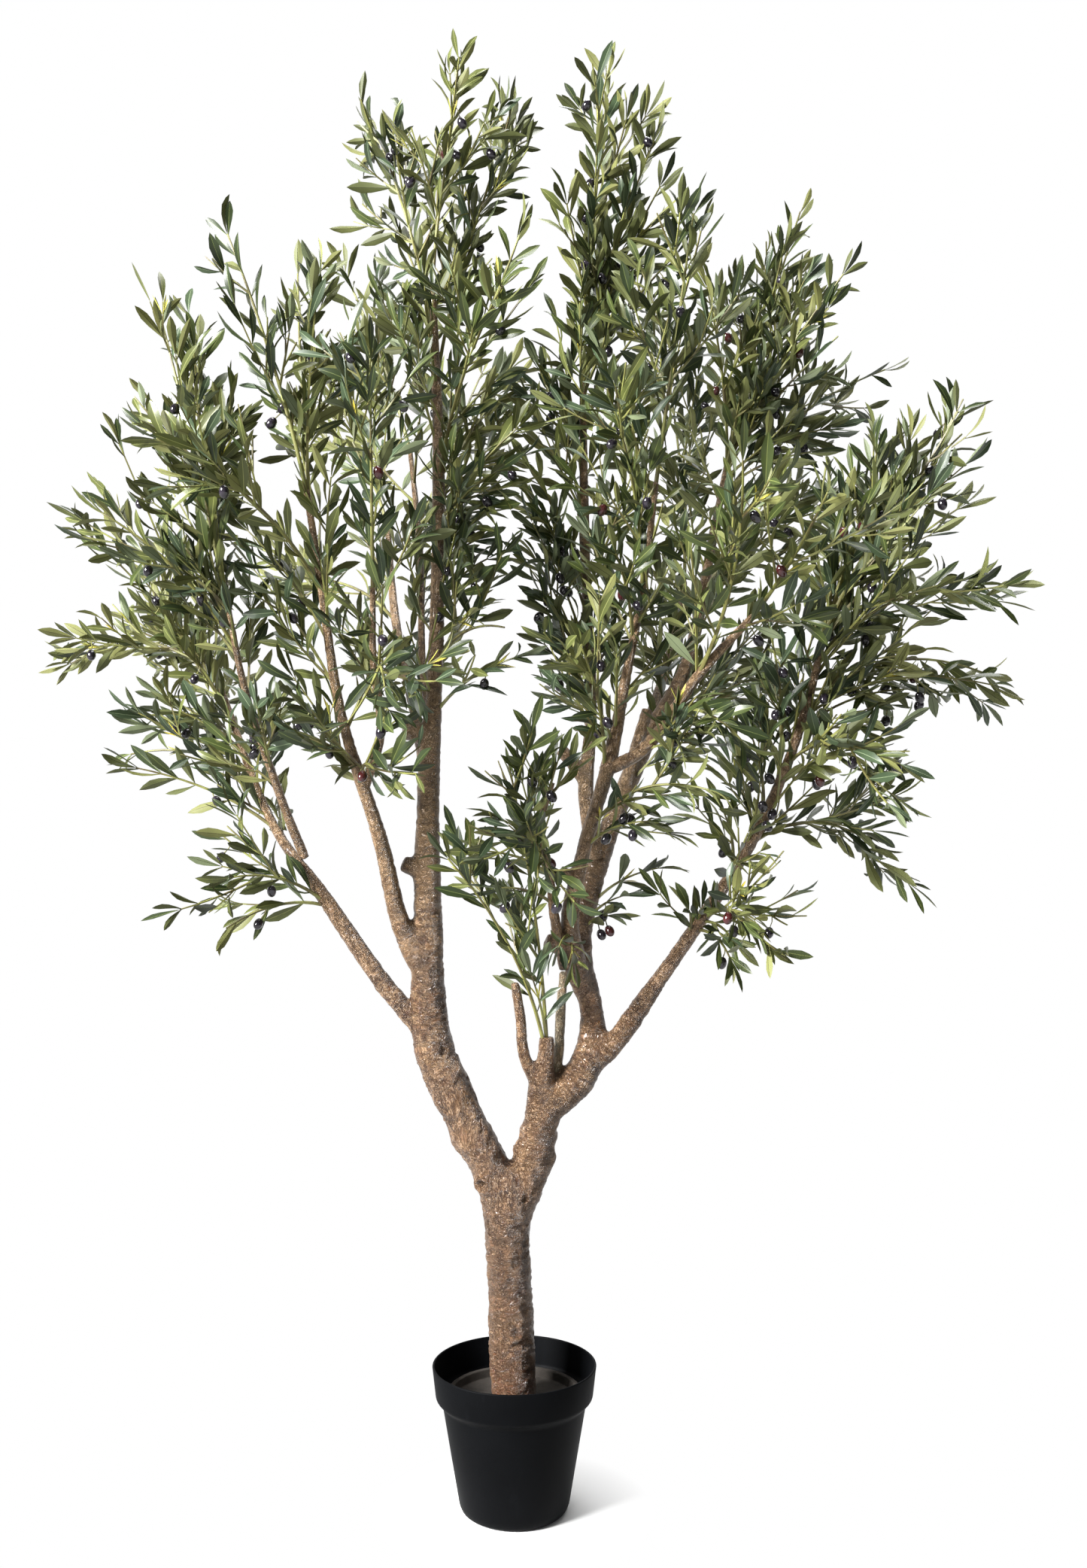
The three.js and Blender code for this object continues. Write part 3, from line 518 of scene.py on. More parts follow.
# The colours of the sprays: upper blade, upper rib, lower blade, lower rib.
LEAF_COLOURS = {
    "deep": ("#29331b", "#555f32", "#4d522c", "#32341b"),
    "mid": ("#3d4723", "#6c743f", "#5f6338", "#3d3d1c"),
    "olive": ("#53592e", "#82864e", "#707242", "#4b4825"),
    "blue": ("#36432e", "#6a775a", "#5f684b", "#3c4229"),
}
YOUNG_COLOURS = ("#b0a234", "#bfb252", "#a3a24a", "#8c8a3c")


class PotSettings(bpy.types.PropertyGroup):
    """The pot and the cement in it."""

    height: bpy.props.FloatProperty(
        name="Height", description="From the ground to the rim", default=0.208, unit="LENGTH"
    )
    rim_radius: bpy.props.FloatProperty(
        name="Rim radius", description="Outside radius at the top", default=0.1175, unit="LENGTH"
    )
    foot_radius: bpy.props.FloatProperty(
        name="Foot radius", description="Outside radius just above the ground", default=0.079, unit="LENGTH"
    )
    wall: bpy.props.FloatProperty(
        name="Wall", description="Thickness of the wall", default=0.0032, unit="LENGTH"
    )
    plastic: bpy.props.FloatVectorProperty(
        name="Plastic", description="Colour of the pot", subtype="COLOR", default=linear("#090a0c", False)
    )
    cement: bpy.props.FloatVectorProperty(
        name="Cement", description="Colour of the fill", subtype="COLOR", default=linear("#35312d", False)
    )


class BarkSettings(bpy.types.PropertyGroup):
    """The bark's relief and colours."""

    voxel: bpy.props.FloatProperty(
        name="Trunk fineness", description="Size of the trunk's faces", default=0.0027, unit="LENGTH"
    )
    thin_voxel: bpy.props.FloatProperty(
        name="Bough fineness", description="Size of the faces of thin boughs", default=0.0023, unit="LENGTH"
    )
    lump_height: bpy.props.FloatProperty(
        name="Lumps", description="Height of the broad lumps on the trunk", default=0.0036, unit="LENGTH"
    )
    light: bpy.props.FloatVectorProperty(
        name="Light bark", description="Paint on the high places", subtype="COLOR",
        default=linear("#765635", False),
    )
    brown: bpy.props.FloatVectorProperty(
        name="Brown bark", description="Paint of the mottles", subtype="COLOR",
        default=linear("#492d1b", False),
    )
    # The dark bark colour is used only as painted shade, in the hollows and grooves of the relief.
    dark: bpy.props.FloatVectorProperty(
        name="Dark bark", description="Paint in the hollows", subtype="COLOR",
        default=linear("#37261c", False),
    )


class FoliageSettings(bpy.types.PropertyGroup):
    """The sizes of leaves, twigs and fruit."""

    leaf_length: bpy.props.FloatProperty(
        name="Leaf length", description="Length of a full grown leaf", default=0.060, unit="LENGTH"
    )
    leaf_width: bpy.props.FloatProperty(
        name="Leaf width", description="Width of a full grown leaf", default=0.0128, unit="LENGTH"
    )
    leaf_step: bpy.props.FloatProperty(
        name="Leaf step", description="From one pair of leaves to the next", default=0.0285, unit="LENGTH"
    )
    leaf_lean: bpy.props.FloatProperty(
        name="Leaf lean", description="Angle of a leaf from its twig", default=math.radians(40),
        unit="ROTATION",
    )
    olive_length: bpy.props.FloatProperty(
        name="Olive length", description="Length of a fruit", default=0.018, unit="LENGTH"
    )


class StageSettings(bpy.types.PropertyGroup):
    """The floor, the light and the camera."""

    floor: bpy.props.FloatVectorProperty(
        name="Floor", description="Colour of the floor", subtype="COLOR", default=linear("#f4f4f3", False)
    )
    lens: bpy.props.FloatProperty(
        name="Lens", description="Focal length for a 36 mm picture height", default=35.76, unit="NONE"
    )


# Mesh and scene helpers


def deselect_all():
    bpy.ops.object.select_all(action="DESELECT")


def choose(*objects):
    """Makes these objects the whole selection, the first of them active."""
    deselect_all()
    for item in objects:
        item.select_set(True)
    bpy.context.view_layer.objects.active = objects[0]


def apply_modifiers(piece):
    choose(piece)
    for modifier in list(piece.modifiers):
        bpy.ops.object.modifier_apply(modifier=modifier.name)


def add_piece(piece, name, slot, *nodes):
    """Names a finished piece, lets it ride on the tree and hides the solids that it stands for."""
    piece.name = name
    piece.data.name = name
    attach(piece, "root")
    if nodes:
        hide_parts(*nodes)


def mesh_piece(points, faces, materials, material_of_face=None):
    """A new object from points in millimetres and lists of corner numbers."""
    mesh = bpy.data.meshes.new("piece")
    mesh.from_pydata((np.asarray(points) * MM).tolist(), [], faces)
    mesh.update(calc_edges=True)
    for material in materials:
        mesh.materials.append(material)
    if material_of_face is not None:
        mesh.polygons.foreach_set("material_index", np.asarray(material_of_face, np.int32))
    piece = bpy.data.objects.new("piece", mesh)
    bpy.context.scene.collection.objects.link(piece)
    return piece


def smooth_by_angle(piece, degrees):
    choose(piece)
    bpy.ops.object.shade_smooth_by_angle(angle=math.radians(degrees))


def add_node(tree, kind, inputs=None, stops=(), **settings):
    """Adds a shader node with its settings, a ramp's stops, and a value or a link for each input."""
    made = tree.nodes.new(kind)
    for name, value in settings.items():
        setattr(made, name, value)
    for number, (place, colour) in enumerate(stops):
        elements = made.color_ramp.elements
        element = elements[number] if number < len(elements) else elements.new(place)
        element.position = place
        element.color = colour
    for socket, value in (inputs or {}).items():
        if isinstance(value, bpy.types.NodeSocket):
            tree.links.new(value, made.inputs[socket])
        else:
            made.inputs[socket].default_value = value
    return made


def new_material(name, **sockets):
    """A material with one Principled shader, whose plain values are set on its own sockets."""
    material = bpy.data.materials.new(name)
    material.use_nodes = True
    shader = material.node_tree.nodes["Principled BSDF"]
    for socket, value in sockets.items():
        shader.inputs[socket.replace("_", " ")].default_value = value
    return material, material.node_tree, shader


def grey(level):
    return (level, level, level, 1.0)


BLACK = grey(0.0)
WHITE = grey(1.0)


def opaque(colour, share=1.0):
    """A plain colour made darker or lighter by share, with full alpha."""
    return (*[min(1.0, share * part) for part in colour[:3]], 1.0)


def pattern(tree, kind, scale, stretch=(1, 1, 1), **inputs):
    """A texture on Object coordinates, with scale in patterns for each metre."""
    place = add_node(tree, "ShaderNodeTexCoord").outputs["Object"]
    mapping = add_node(tree, "ShaderNodeMapping", {"Vector": place, "Scale": stretch})
    sockets = {"Vector": mapping.outputs[0], "Scale": scale}
    sockets.update({name.replace("_", " "): value for name, value in inputs.items()})
    return add_node(tree, kind, sockets)


# Limbs and stems, in millimetres


def cubic_span(before, start, end, after):
    """The centripetal cubic through start and end, as coefficients of 1, t, t^2 and t^3."""
    gaps = [np.linalg.norm(b - a) ** 0.5 for a, b in ((before, start), (start, end), (end, after))]
    first = (start - before) / gaps[0] - (end - before) / (gaps[0] + gaps[1]) + (end - start) / gaps[1]
    last = (end - start) / gaps[1] - (after - start) / (gaps[1] + gaps[2]) + (after - end) / gaps[2]
    first = first * gaps[1]
    last = last * gaps[1]
    return start, first, 3 * (end - start) - 2 * first - last, 2 * (start - end) + first + last


def unit(vector):
    return vector / np.linalg.norm(vector)


def stations_of(points, step):
    """Centres, headings and radii at even steps of the smooth curve through a limb's points."""
    centres = [np.array(row[:3], float) for row in points]
    centres = [2 * centres[0] - centres[1], *centres, 2 * centres[-1] - centres[-2]]
    made = []
    for i, (first, last) in enumerate(zip(points, points[1:])):
        terms = cubic_span(*centres[i : i + 4])
        parts = max(1, round(float(np.linalg.norm(centres[i + 2] - centres[i + 1])) / step))
        for part in range(0 if i == 0 else 1, parts + 1):
            t = part / parts
            centre = terms[0] + terms[1] * t + terms[2] * t * t + terms[3] * t**3
            slope = terms[1] + 2 * terms[2] * t + 3 * terms[3] * t * t
            made.append((centre, unit(slope), first[3] + (last[3] - first[3]) * t))
    return [np.array(column) for column in zip(*made)]


def along(stations, share):
    """The centre and heading at a share of a limb's length."""
    centres, headings, _ = stations
    lengths = np.linalg.norm(np.diff(centres, axis=0), axis=1)
    left = share * lengths.sum()
    i = 0
    while i < len(lengths) - 1 and left > lengths[i]:
        left -= lengths[i]
        i += 1
    t = min(1.0, left / lengths[i])
    centre = centres[i] * (1 - t) + centres[i + 1] * t
    return centre, unit(headings[i] * (1 - t) + headings[i + 1] * t)


def random_from(seed):
    """The same even random numbers for the same seed, as in the solids."""
    mask = 0xFFFFFFFF
    state = seed & mask

    def draw():
        nonlocal state
        state = (state + 0x6D2B79F5) & mask
        value = state
        value = ((value ^ (value >> 15)) * (value | 1)) & mask
        value ^= (value + (((value ^ (value >> 7)) * (value | 61)) & mask)) & mask
        return (value ^ (value >> 14)) / 4294967296

    return draw


def drawn(span, draw):
    """An even random number that starts at the first number of span and reaches up by the second."""
    return span[0] + span[1] * draw()


def centred(width, draw):
    """An even random number about nought, width from its least to its most."""
    return width * (draw() - 0.5)


def any_tone(draw):
    return int(draw() * len(LEAF_COLOURS))


def turned_about(vector, axis, degrees):
    angle = math.radians(degrees)
    return (
        vector * math.cos(angle)
        + np.cross(axis, vector) * math.sin(angle)
        + axis * np.dot(axis, vector) * (1 - math.cos(angle))
    )


def leaning(heading, lean, spin):
    """A direction turned away from heading by lean degrees, towards the side given by spin degrees."""
    axis = np.array((0, 0, 1.0) if abs(heading[2]) < 0.9 else (1.0, 0, 0))
    side = turned_about(unit(np.cross(heading, axis)), heading, spin)
    return heading * math.cos(math.radians(lean)) + side * math.sin(math.radians(lean))


class Stem:
    """A mass's stem: it runs on from its bough's heading and bends towards the mass's far tip."""

    def __init__(self, name, seed, rows):
        bough, share, tip, self.spread, arch, self.fruit = MASSES[name]
        self.seed = seed
        self.on_tip = share == 1
        root, heading = along(rows[bough], share)
        tip = np.array(tip, float)
        self.reach = float(np.linalg.norm(tip - root))
        start = unit(heading * (1 - STEM_TURN) + unit(tip - root) * STEM_TURN)
        knee = root + start * STEM_KNEE * self.reach
        knee[2] += arch
        self.ends = (root - heading * 2 if self.on_tip else root, knee, tip)
        self.line = np.array([self.point(i / STEM_LINE_STEPS) for i in range(STEM_LINE_STEPS + 1)])

    def point(self, t):
        a, b, c = self.ends
        return a * (1 - t) ** 2 + b * 2 * t * (1 - t) + c * t * t

    def heading(self, t):
        a, b, c = self.ends
        return unit((b - a) * (1 - t) + (c - b) * t)

    def twigs(self):
        """Where each twig leaves the stem, its heading, spin and how far its last leaf reaches."""
        leafy = self.reach * (1 - BARE_SHARE) - SOLID_LEAF
        count = 2 * max(2, math.floor(leafy / (SOLID_TWIG_STEP * 2) + 0.5))
        end = 1 - 0.75 * SOLID_LEAF / self.reach
        for i in range(count):
            draw = random_from(self.seed * SEED_STEP + i)
            spin = i * GOLDEN_ANGLE + TWIG_VARIATION["spin"] * (2 * draw() - 1)
            lean = TWIG_LEAN + TWIG_VARIATION["lean"] * (2 * draw() - 1)
            share = BARE_SHARE + (end - BARE_SHARE) * (i + 0.5) / count
            reach = self.spread * (TWIG_REACH - TWIG_REACH_LOSS * share)
            reach *= 1 + TWIG_VARIATION["reach"] * (2 * draw() - 1)
            onward = self.heading(share)
            heading = unit(leaning(onward, lean, spin) * (1 - TWIG_BEND) + onward * TWIG_BEND)
            yield i, self.point(share), heading, spin, max(SOLID_TWIG_MIN, reach - SOLID_LEAF) + SOLID_LEAF


class Space:
    """The room that each mass keeps to: nearer to its own stem than to others, and clear of the limbs."""

    def __init__(self, stems, rows):
        self.stem_lines = np.array([stem.line for stem in stems])
        parts = [(c[:-1], c[1:], r[:-1], r[1:]) for c, _, r in rows]
        self.limbs = [np.concatenate(column) for column in zip(*parts)]

    @staticmethod
    def distances(points, starts, ends):
        """From each point to each line piece, and how far along it is the nearest place."""
        chord = ends - starts
        offset = points[:, None, :] - starts
        t = np.clip((offset * chord).sum(-1) / np.maximum((chord * chord).sum(-1), 1e-9), 0, 1)
        return np.linalg.norm(offset - chord * t[..., None], axis=-1), t

    def holds(self, points, own):
        """Whether each point is clear of the limbs, and in the space of the stem own if one is given."""
        gap, t = self.distances(points, self.limbs[0], self.limbs[1])
        skin = self.limbs[2] * (1 - t) + self.limbs[3] * t
        clear = (gap - skin).min(1) > LIMB_CLEARANCE
        if own is None:
            return clear
        count, steps, _ = self.stem_lines.shape
        starts = self.stem_lines[:, :-1].reshape(-1, 3)
        ends = self.stem_lines[:, 1:].reshape(-1, 3)
        far, _ = self.distances(points, starts, ends)
        far = far.reshape(len(points), count, steps - 1).min(2)
        home = far[:, own] - SPACE_SLACK
        far[:, own] = np.inf
        return clear & (far.min(1) > home)

    @staticmethod
    def in_opening(point, leaf=False):
        """Whether a point lies where the camera sees the sky or, behind a leaf, a bare limb."""
        share = -EYE[1] / (point[1] - EYE[1])
        x = EYE[0] + (point[0] - EYE[0]) * share
        z = EYE[2] + (point[2] - EYE[2]) * share
        rows = OPENINGS + BARE_LIMBS if leaf and point[1] < BARE_DEPTH else OPENINGS
        return any(((x - cx) / wide) ** 2 + ((z - cz) / high) ** 2 < 1 for cx, cz, wide, high in rows)


# Foliage


class Foliage:
    """Grows the masses, the limbs' shoots and the sprays, and keeps wood, leaves and fruit as plain rows."""

    def __init__(self, settings):
        self.rows = {name: stations_of(points, LIMB_STEP) for name, points in BOUGHS.items()}
        trunk = [stations_of(points, LIMB_STEP) for points in TRUNK]
        stubs = [stations_of(points, LIMB_STEP) for _, points in STUBS]
        self.stems = [Stem(name, i + 1, self.rows) for i, name in enumerate(MASSES)]
        self.space = Space(self.stems, [*self.rows.values(), *trunk, *stubs])
        self.length = settings.leaf_length / MM
        self.width = settings.leaf_width / MM
        self.step = settings.leaf_step / MM
        self.lean = math.degrees(settings.leaf_lean)
        self.wood = []
        self.leaves = []
        self.buds = []
        self.olives = []
        self.kept_lines = np.zeros((0, 3))
        for number in range(len(self.stems)):
            self.grow(number)
        for index, name in enumerate(LIMB_SHOOTS):
            self.grow_on_limb(name, index)
        for index, row in enumerate(SPRAYS):
            self.grow_spray(index, *row)

    def grow(self, number):
        """A mass: its stem with leaves, and its twigs by the rule of growth."""
        stem = self.stems[number]
        draw = random_from(MASS_SEEDS + number)
        tone = int(draw() * STEM_TONES)
        share = 1 - STEM_GAP * self.length / stem.reach
        line = np.array([stem.point(share * i / (STEM_POINTS - 1)) for i in range(STEM_POINTS)])
        self.wood.append((line, np.linspace(*STEM_RADII, len(line)), STEM_SIDES))
        self.leaf_pairs(line, number, draw, BARE_SHARE * stem.reach, tone, 1.0)
        self.try_olive(line, STEM_OLIVE_CHANCE, STEM_OLIVE_PLACES, draw)
        for i, root, heading, spin, reach in stem.twigs():
            late = float(np.linalg.norm(root - stem.ends[0])) / stem.reach
            reach = reach * (LOW_TWIG + (TIP_TWIG - LOW_TWIG) * late)
            if draw() > TWIG_CHANCE:
                continue
            twig = self.branching(root, heading, reach, spin, number, draw, tone, TWIG_RADIUS)
            if twig is not None and (stem.fruit and i % FRUIT_STEP == 1 or draw() < TWIG_OLIVE_CHANCE):
                self.hang_olive(twig, drawn(TWIG_OLIVE_PLACES, draw), draw)

    def grow_on_limb(self, name, index):
        """Shoots along a limb by the same rule, kept clear of the limbs and the openings."""
        start, end, step, reach = LIMB_SHOOTS[name]
        row = self.rows[name]
        length = float(np.linalg.norm(np.diff(row[0], axis=0), axis=1).sum())
        count = max(1, round((end - start) * length / step))
        draw = random_from(LIMB_SEEDS + index)
        for i in range(count):
            share = start + (end - start) * (i + draw()) / count
            root, onward = along(row, share)
            spin = i * GOLDEN_ANGLE + LIMB_SHOOT_SPIN * draw()
            lean = TWIG_LEAN + LIMB_SHOOT_LEAN * draw()
            heading = unit(leaning(onward, lean, spin) * (1 - LIMB_SHOOT_BEND) + onward * LIMB_SHOOT_BEND)
            tone = any_tone(draw)
            far = reach * drawn(LIMB_SHOOT_REACHES, draw)
            self.branching(root, heading, far, spin, None, draw, tone, LIMB_SHOOT_RADIUS)

    def grow_spray(self, index, name, share, tip, full):
        """One long spray from a limb: an arching twig with leaves, and shorter twigs all round it."""
        draw = random_from(SPRAY_SEEDS + index)
        root, onward = along(self.rows[name], share)
        tip = np.array(tip, float)
        reach = float(np.linalg.norm(tip - root))
        knee = root + unit(onward * (1 - STEM_TURN) + unit(tip - root) * STEM_TURN) * STEM_KNEE * reach
        t = np.linspace(0, 1 - TWIG_GAP * self.length / reach, SPRAY_POINTS)[:, None]
        line = root * (1 - t) ** 2 + knee * 2 * t * (1 - t) + tip * t * t
        tone = any_tone(draw)
        self.wood.append((line, np.linspace(*SPRAY_RADII, len(line)), TWIG_SIDES))
        self.leaf_pairs(line, None, draw, SPRAY_BARE_SHARE * reach, tone, 1.0)
        for places in SPRAY_OLIVE_PLACES:
            self.try_olive(line, SPRAY_OLIVE_CHANCE, places, draw)
        count = int(SPRAY_LEAFY * reach / SPRAY_FORK_STEP * full)
        for i in range(count):
            at = SPRAY_FORK_SHARES[0] + SPRAY_FORK_SHARES[1] * (i + 0.5) / count
            low = int(at * (len(line) - 1))
            heading = leaning(unit(line[low + 1] - line[low]), SPRAY_FORK_LEAN, i * GOLDEN_ANGLE)
            far = SPRAY_FORK_REACH * (SPRAY_REACH_SHARES[0] - SPRAY_REACH_SHARES[1] * at)
            twig = self.shoot(
                line[low], heading, far, None, draw, SPRAY_TWIG_RADIUS, tone, SPRAY_LEAF_SIZE
            )
            if twig is not None:
                self.try_olive(twig, SPRAY_TWIG_OLIVE_CHANCE, TWIG_OLIVE_PLACES, draw)

    def branching(self, root, heading, reach, spin, number, draw, tone, thick):
        """A twig with one or two forks where it is long enough for them."""
        twig = self.shoot(root, heading, reach, number, draw, thick, tone, 1.0)
        if twig is None:
            return None
        for k, (fork, least) in enumerate(zip(FORK_SHARES, FORK_LEAST)):
            if reach < least:
                continue
            at = fork * (len(twig) - 1)
            low = int(at)
            base = twig[low] + (twig[low + 1] - twig[low]) * (at - low)
            onward = unit(twig[low + 1] - twig[low])
            side = leaning(onward, FORK_LEAN, spin + 90 + 180 * k + centred(FORK_SPIN, draw))
            far = (1 - fork) * reach * FORK_REACH + FORK_ADDED
            self.shoot(base, side, far, number, draw, FORK_RADIUS, tone, FORK_LEAF_SIZE)
        return twig

    def shoot(self, root, heading, reach, number, draw, thick, tone, size):
        """A twig with its leaves, cut off where it would leave its mass's space or cross an opening."""
        length = reach - TWIG_GAP * self.length * size
        if length < LEAST_TWIG:
            return None
        sway = np.array([draw() for _ in range(3)]) - 0.5
        bend = unit(heading + np.array((0, 0, TWIG_RISE)) + TWIG_SWAY * sway)
        t = np.linspace(0, 1, SHOOT_POINTS)[:, None]
        line = root + heading * t * length + (bend - heading) * t * t * TWIG_CURVE * length
        inside = self.space.holds(line[2:], number)
        inside &= ~np.array([self.space.in_opening(point) for point in line[2:]])
        if not inside[0]:
            return None
        if not inside.all():
            line = line[: 2 + int(np.argmin(inside)) + 1]
        self.wood.append((line, np.linspace(thick, TWIG_TIP_RADIUS, len(line)), TWIG_SIDES))
        own_tone = tone if draw() < TWIG_TONE_CHANCE else any_tone(draw)
        self.leaf_pairs(line, number, draw, FIRST_LEAVES, own_tone, size)
        return line

    def leaf_pairs(self, line, number, draw, first, tone, size):
        """Pairs of leaves along a line, each turned a quarter from the last, and a tuft at its end."""
        steps = np.linalg.norm(np.diff(line, axis=0), axis=1)
        ends = np.concatenate([[0], np.cumsum(steps)])
        spin = 360 * draw()
        place = first
        while place < ends[-1] - TIP_CLEAR:
            near = min(len(steps) - 1, int(np.searchsorted(ends, place, "right")) - 1)
            onward = unit(line[near + 1] - line[near])
            root = line[near] + onward * (place - ends[near])
            late = max(0.0, 1 - (ends[-1] - place) / TIP_STRETCH)
            for side in range(2):
                lean = self.lean + LEAN_SPREAD * (2 * draw() - 1) - TIP_LEAN_LOSS * late
                scale = size * drawn(LEAF_SIZES, draw) * (1 - TIP_SIZE_LOSS * late)
                self.leaf(root, leaning(onward, lean, spin + 180 * side), onward, scale, number, tone, draw)
                root = root + onward * PAIR_OFFSET * (draw() - 0.3)
            spin += 90 + centred(PAIR_SPIN, draw)
            place += self.step * drawn(PAIR_STEPS, draw)
        onward = unit(line[-1] - line[-2])
        straight = leaning(onward, END_LEAN * draw(), spin)
        self.leaf(line[-1], straight, onward, size * END_SIZE, number, tone, draw)
        for side in range(2):
            out = leaning(onward, drawn(TUFT_LEANS, draw), spin + TUFT_SPIN + 180 * side)
            scale = size * drawn(TUFT_SIZES, draw)
            self.leaf(line[-1] - onward * PAIR_OFFSET, out, onward, scale, number, tone, draw)
        if draw() < YOUNG_CHANCE:
            # Young leaves sit in the joint of a pair, well inside the spray.
            low = int(len(steps) * drawn(YOUNG_PLACES, draw))
            for side in range(3):
                out = leaning(unit(line[low + 1] - line[low]), drawn(YOUNG_LEANS, draw), spin + 120 * side)
                scale = drawn(YOUNG_SIZES, draw)
                self.buds.append((line[low], out, onward, scale, YOUNG_CURL * draw(), 0.0, YOUNG_WIDTH))

    def leaf(self, root, heading, onward, scale, number, tone, draw):
        """Keeps a leaf if it fits. Its upper face mostly looks up and away from the trunk."""
        face = np.cross(heading, onward)
        if np.linalg.norm(face) < 0.1:
            face = leaning(heading, 90, 360 * draw())
        outward = np.array((root[0], root[1], FACE_RISE))
        if (np.dot(face, outward) < 0) != (draw() < BACK_CHANCE):
            face = -face
        face = turned_about(unit(face), heading, centred(LEAF_TURN, draw))
        length = self.length * scale
        curl = math.radians(drawn(LEAF_CURLS, draw) - (ROLL_BACK if draw() < ROLL_BACK_CHANCE else 0))
        twist = math.radians(centred(LEAF_TWIST, draw))
        slim = drawn(SLIM_SHARES, draw)
        if self.space.in_opening(root + heading * length * 0.5, True):
            return
        samples = root + heading * length * SAMPLE_SHARES
        samples = samples - face * length * SAMPLE_DROPS * curl
        if not self.space.holds(samples, number).all():
            return
        if len(self.kept_lines):
            gap = np.linalg.norm(self.kept_lines[:, None] - samples[None, :2], axis=-1).min()
            if gap < LEAF_GAP:
                return
        self.kept_lines = np.concatenate([self.kept_lines, samples[:2]])
        kind = tone if draw() < LEAF_TONE_CHANCE else any_tone(draw)
        self.leaves.append((root, heading, face, scale, curl, twist, slim, kind))

    def try_olive(self, line, chance, places, draw):
        if draw() < chance:
            self.hang_olive(line, drawn(places, draw), draw)

    def hang_olive(self, twig, share, draw):
        """Keeps an olive on a stalk that swings a little towards the front, unless it hides an opening."""
        at = twig[int(share * (len(twig) - 1))]
        drop = unit(np.array((STALK_SWING * (draw() - 0.5), STALK_SWING * (draw() - 0.62), -1.0)))
        if not self.space.in_opening(at + drop * OLIVE_CLEAR):
            self.olives.append((at, drop, drawn(STALK_LENGTHS, draw), draw() < RED_CHANCE))


def tube(points, radii, sides):
    """Corner points and faces of a tapering tube that ends in a point."""
    points = np.asarray(points, float)
    headings = np.gradient(points, axis=0)
    headings = headings / np.linalg.norm(headings, axis=1)[:, None]
    side = unit(np.cross(headings[0], (0.3, 0.5, 0.8)))
    angles = np.arange(sides) * 2 * math.pi / sides
    rings = []
    for centre, heading, radius in zip(points, headings, radii):
        side = unit(side - heading * np.dot(side, heading))
        other = np.cross(heading, side)
        rings.append(centre + radius * (np.outer(np.cos(angles), side) + np.outer(np.sin(angles), other)))
    corners = np.concatenate([*rings, [points[-1] + headings[-1] * radii[-1]]])
    faces = [list(range(sides))[::-1]]
    for ring in range(len(points) - 1):
        low = ring * sides
        for k in range(sides):
            n = (k + 1) % sides
            faces.append([low + k, low + n, low + sides + n, low + sides + k])
    last = (len(points) - 1) * sides
    faces += [[last + k, last + (k + 1) % sides, len(corners) - 1] for k in range(sides)]
    return corners, faces


def joined(parts):
    """Several sets of points and faces as one."""
    points, faces, start = [], [], 0
    for corners, rows in parts:
        points.append(corners)
        faces += [[start + corner for corner in row] for row in rows]
        start += len(corners)
    return np.concatenate(points), faces


def leaf_faces():
    """A leaf's faces and their materials: 0 and 1 the upper blade and rib, 2 and 3 the lower ones."""
    root, tip, count = 0, 1, len(LEAF_STATIONS)
    left, right, upper_left, upper_right, lower_left, lower_right = range(6)

    def corner(station, which):
        return 2 + station * 6 + which

    faces, kinds = [], []
    sides = ((True, upper_left, upper_right), (False, lower_left, lower_right))
    for upper, rib_left, rib_right in sides:
        strips = (((left, rib_left), 0), ((rib_left, rib_right), 1), ((rib_right, right), 0))
        for (near, far), kind in strips:
            rows = [[root, corner(0, far), corner(0, near)]]
            for s in range(count - 1):
                rows.append([corner(s, near), corner(s, far), corner(s + 1, far), corner(s + 1, near)])
            rows.append([corner(count - 1, near), corner(count - 1, far), tip])
            faces += rows if upper else [row[::-1] for row in rows]
            kinds += [kind + (0 if upper else 2)] * len(rows)
    return faces, kinds


def leaf_points(rows, length, width):
    """The corner points of many leaves at once, as an array of leaf, corner and x, y, z."""
    root = np.array([row[0] for row in rows])
    heading = np.array([row[1] for row in rows])
    face = np.array([row[2] for row in rows])
    face = face - heading * (face * heading).sum(1)[:, None]
    face = face / np.linalg.norm(face, axis=1)[:, None]
    side = np.cross(heading, face)
    scale, curl, twist, slim = np.array([row[3:7] for row in rows]).T
    long = length * scale
    wide = width * scale * slim

    def middle(share):
        """The place, heading and face direction on the bent middle line."""
        turn = curl * share
        safe = np.where(np.abs(curl) < 1e-4, 1e-4, curl)
        on = np.sin(safe * share) / safe * long
        off = (1 - np.cos(safe * share)) / safe * long
        centre = root + heading * on[:, None] - face * off[:, None]
        up = face * np.cos(turn)[:, None] + heading * np.sin(turn)[:, None]
        across = side * np.cos(twist * share)[:, None] + up * np.sin(twist * share)[:, None]
        up = up * np.cos(twist * share)[:, None] - side * np.sin(twist * share)[:, None]
        return centre, across, up

    corners = [root, middle(1.0)[0]]
    for share, part in zip(LEAF_STATIONS, LEAF_WIDTHS):
        centre, across, up = middle(share)
        half = (wide * part / 2)[:, None]
        rib = MIDRIB_HALF_WIDTH * (1 - 0.5 * share)
        lift = BLADE_FOLD * half
        corners += [centre - across * half + up * lift, centre + across * half + up * lift]
        for level in (MIDRIB_LEVEL, MIDRIB_LEVEL - MIDRIB_THICKNESS):
            corners += [centre - across * rib + up * level, centre + across * rib + up * level]
    return np.stack(corners, axis=1)


def leaf_piece(rows, length, width, materials):
    corners = leaf_points(rows, length, width)
    count, size, _ = corners.shape
    faces, kinds = leaf_faces()
    every = [[i * size + corner for corner in face] for i in range(count) for face in faces]
    piece = mesh_piece(corners.reshape(-1, 3), every, materials, kinds * count)
    smooth_by_angle(piece, 21)
    return piece


# Bark relief


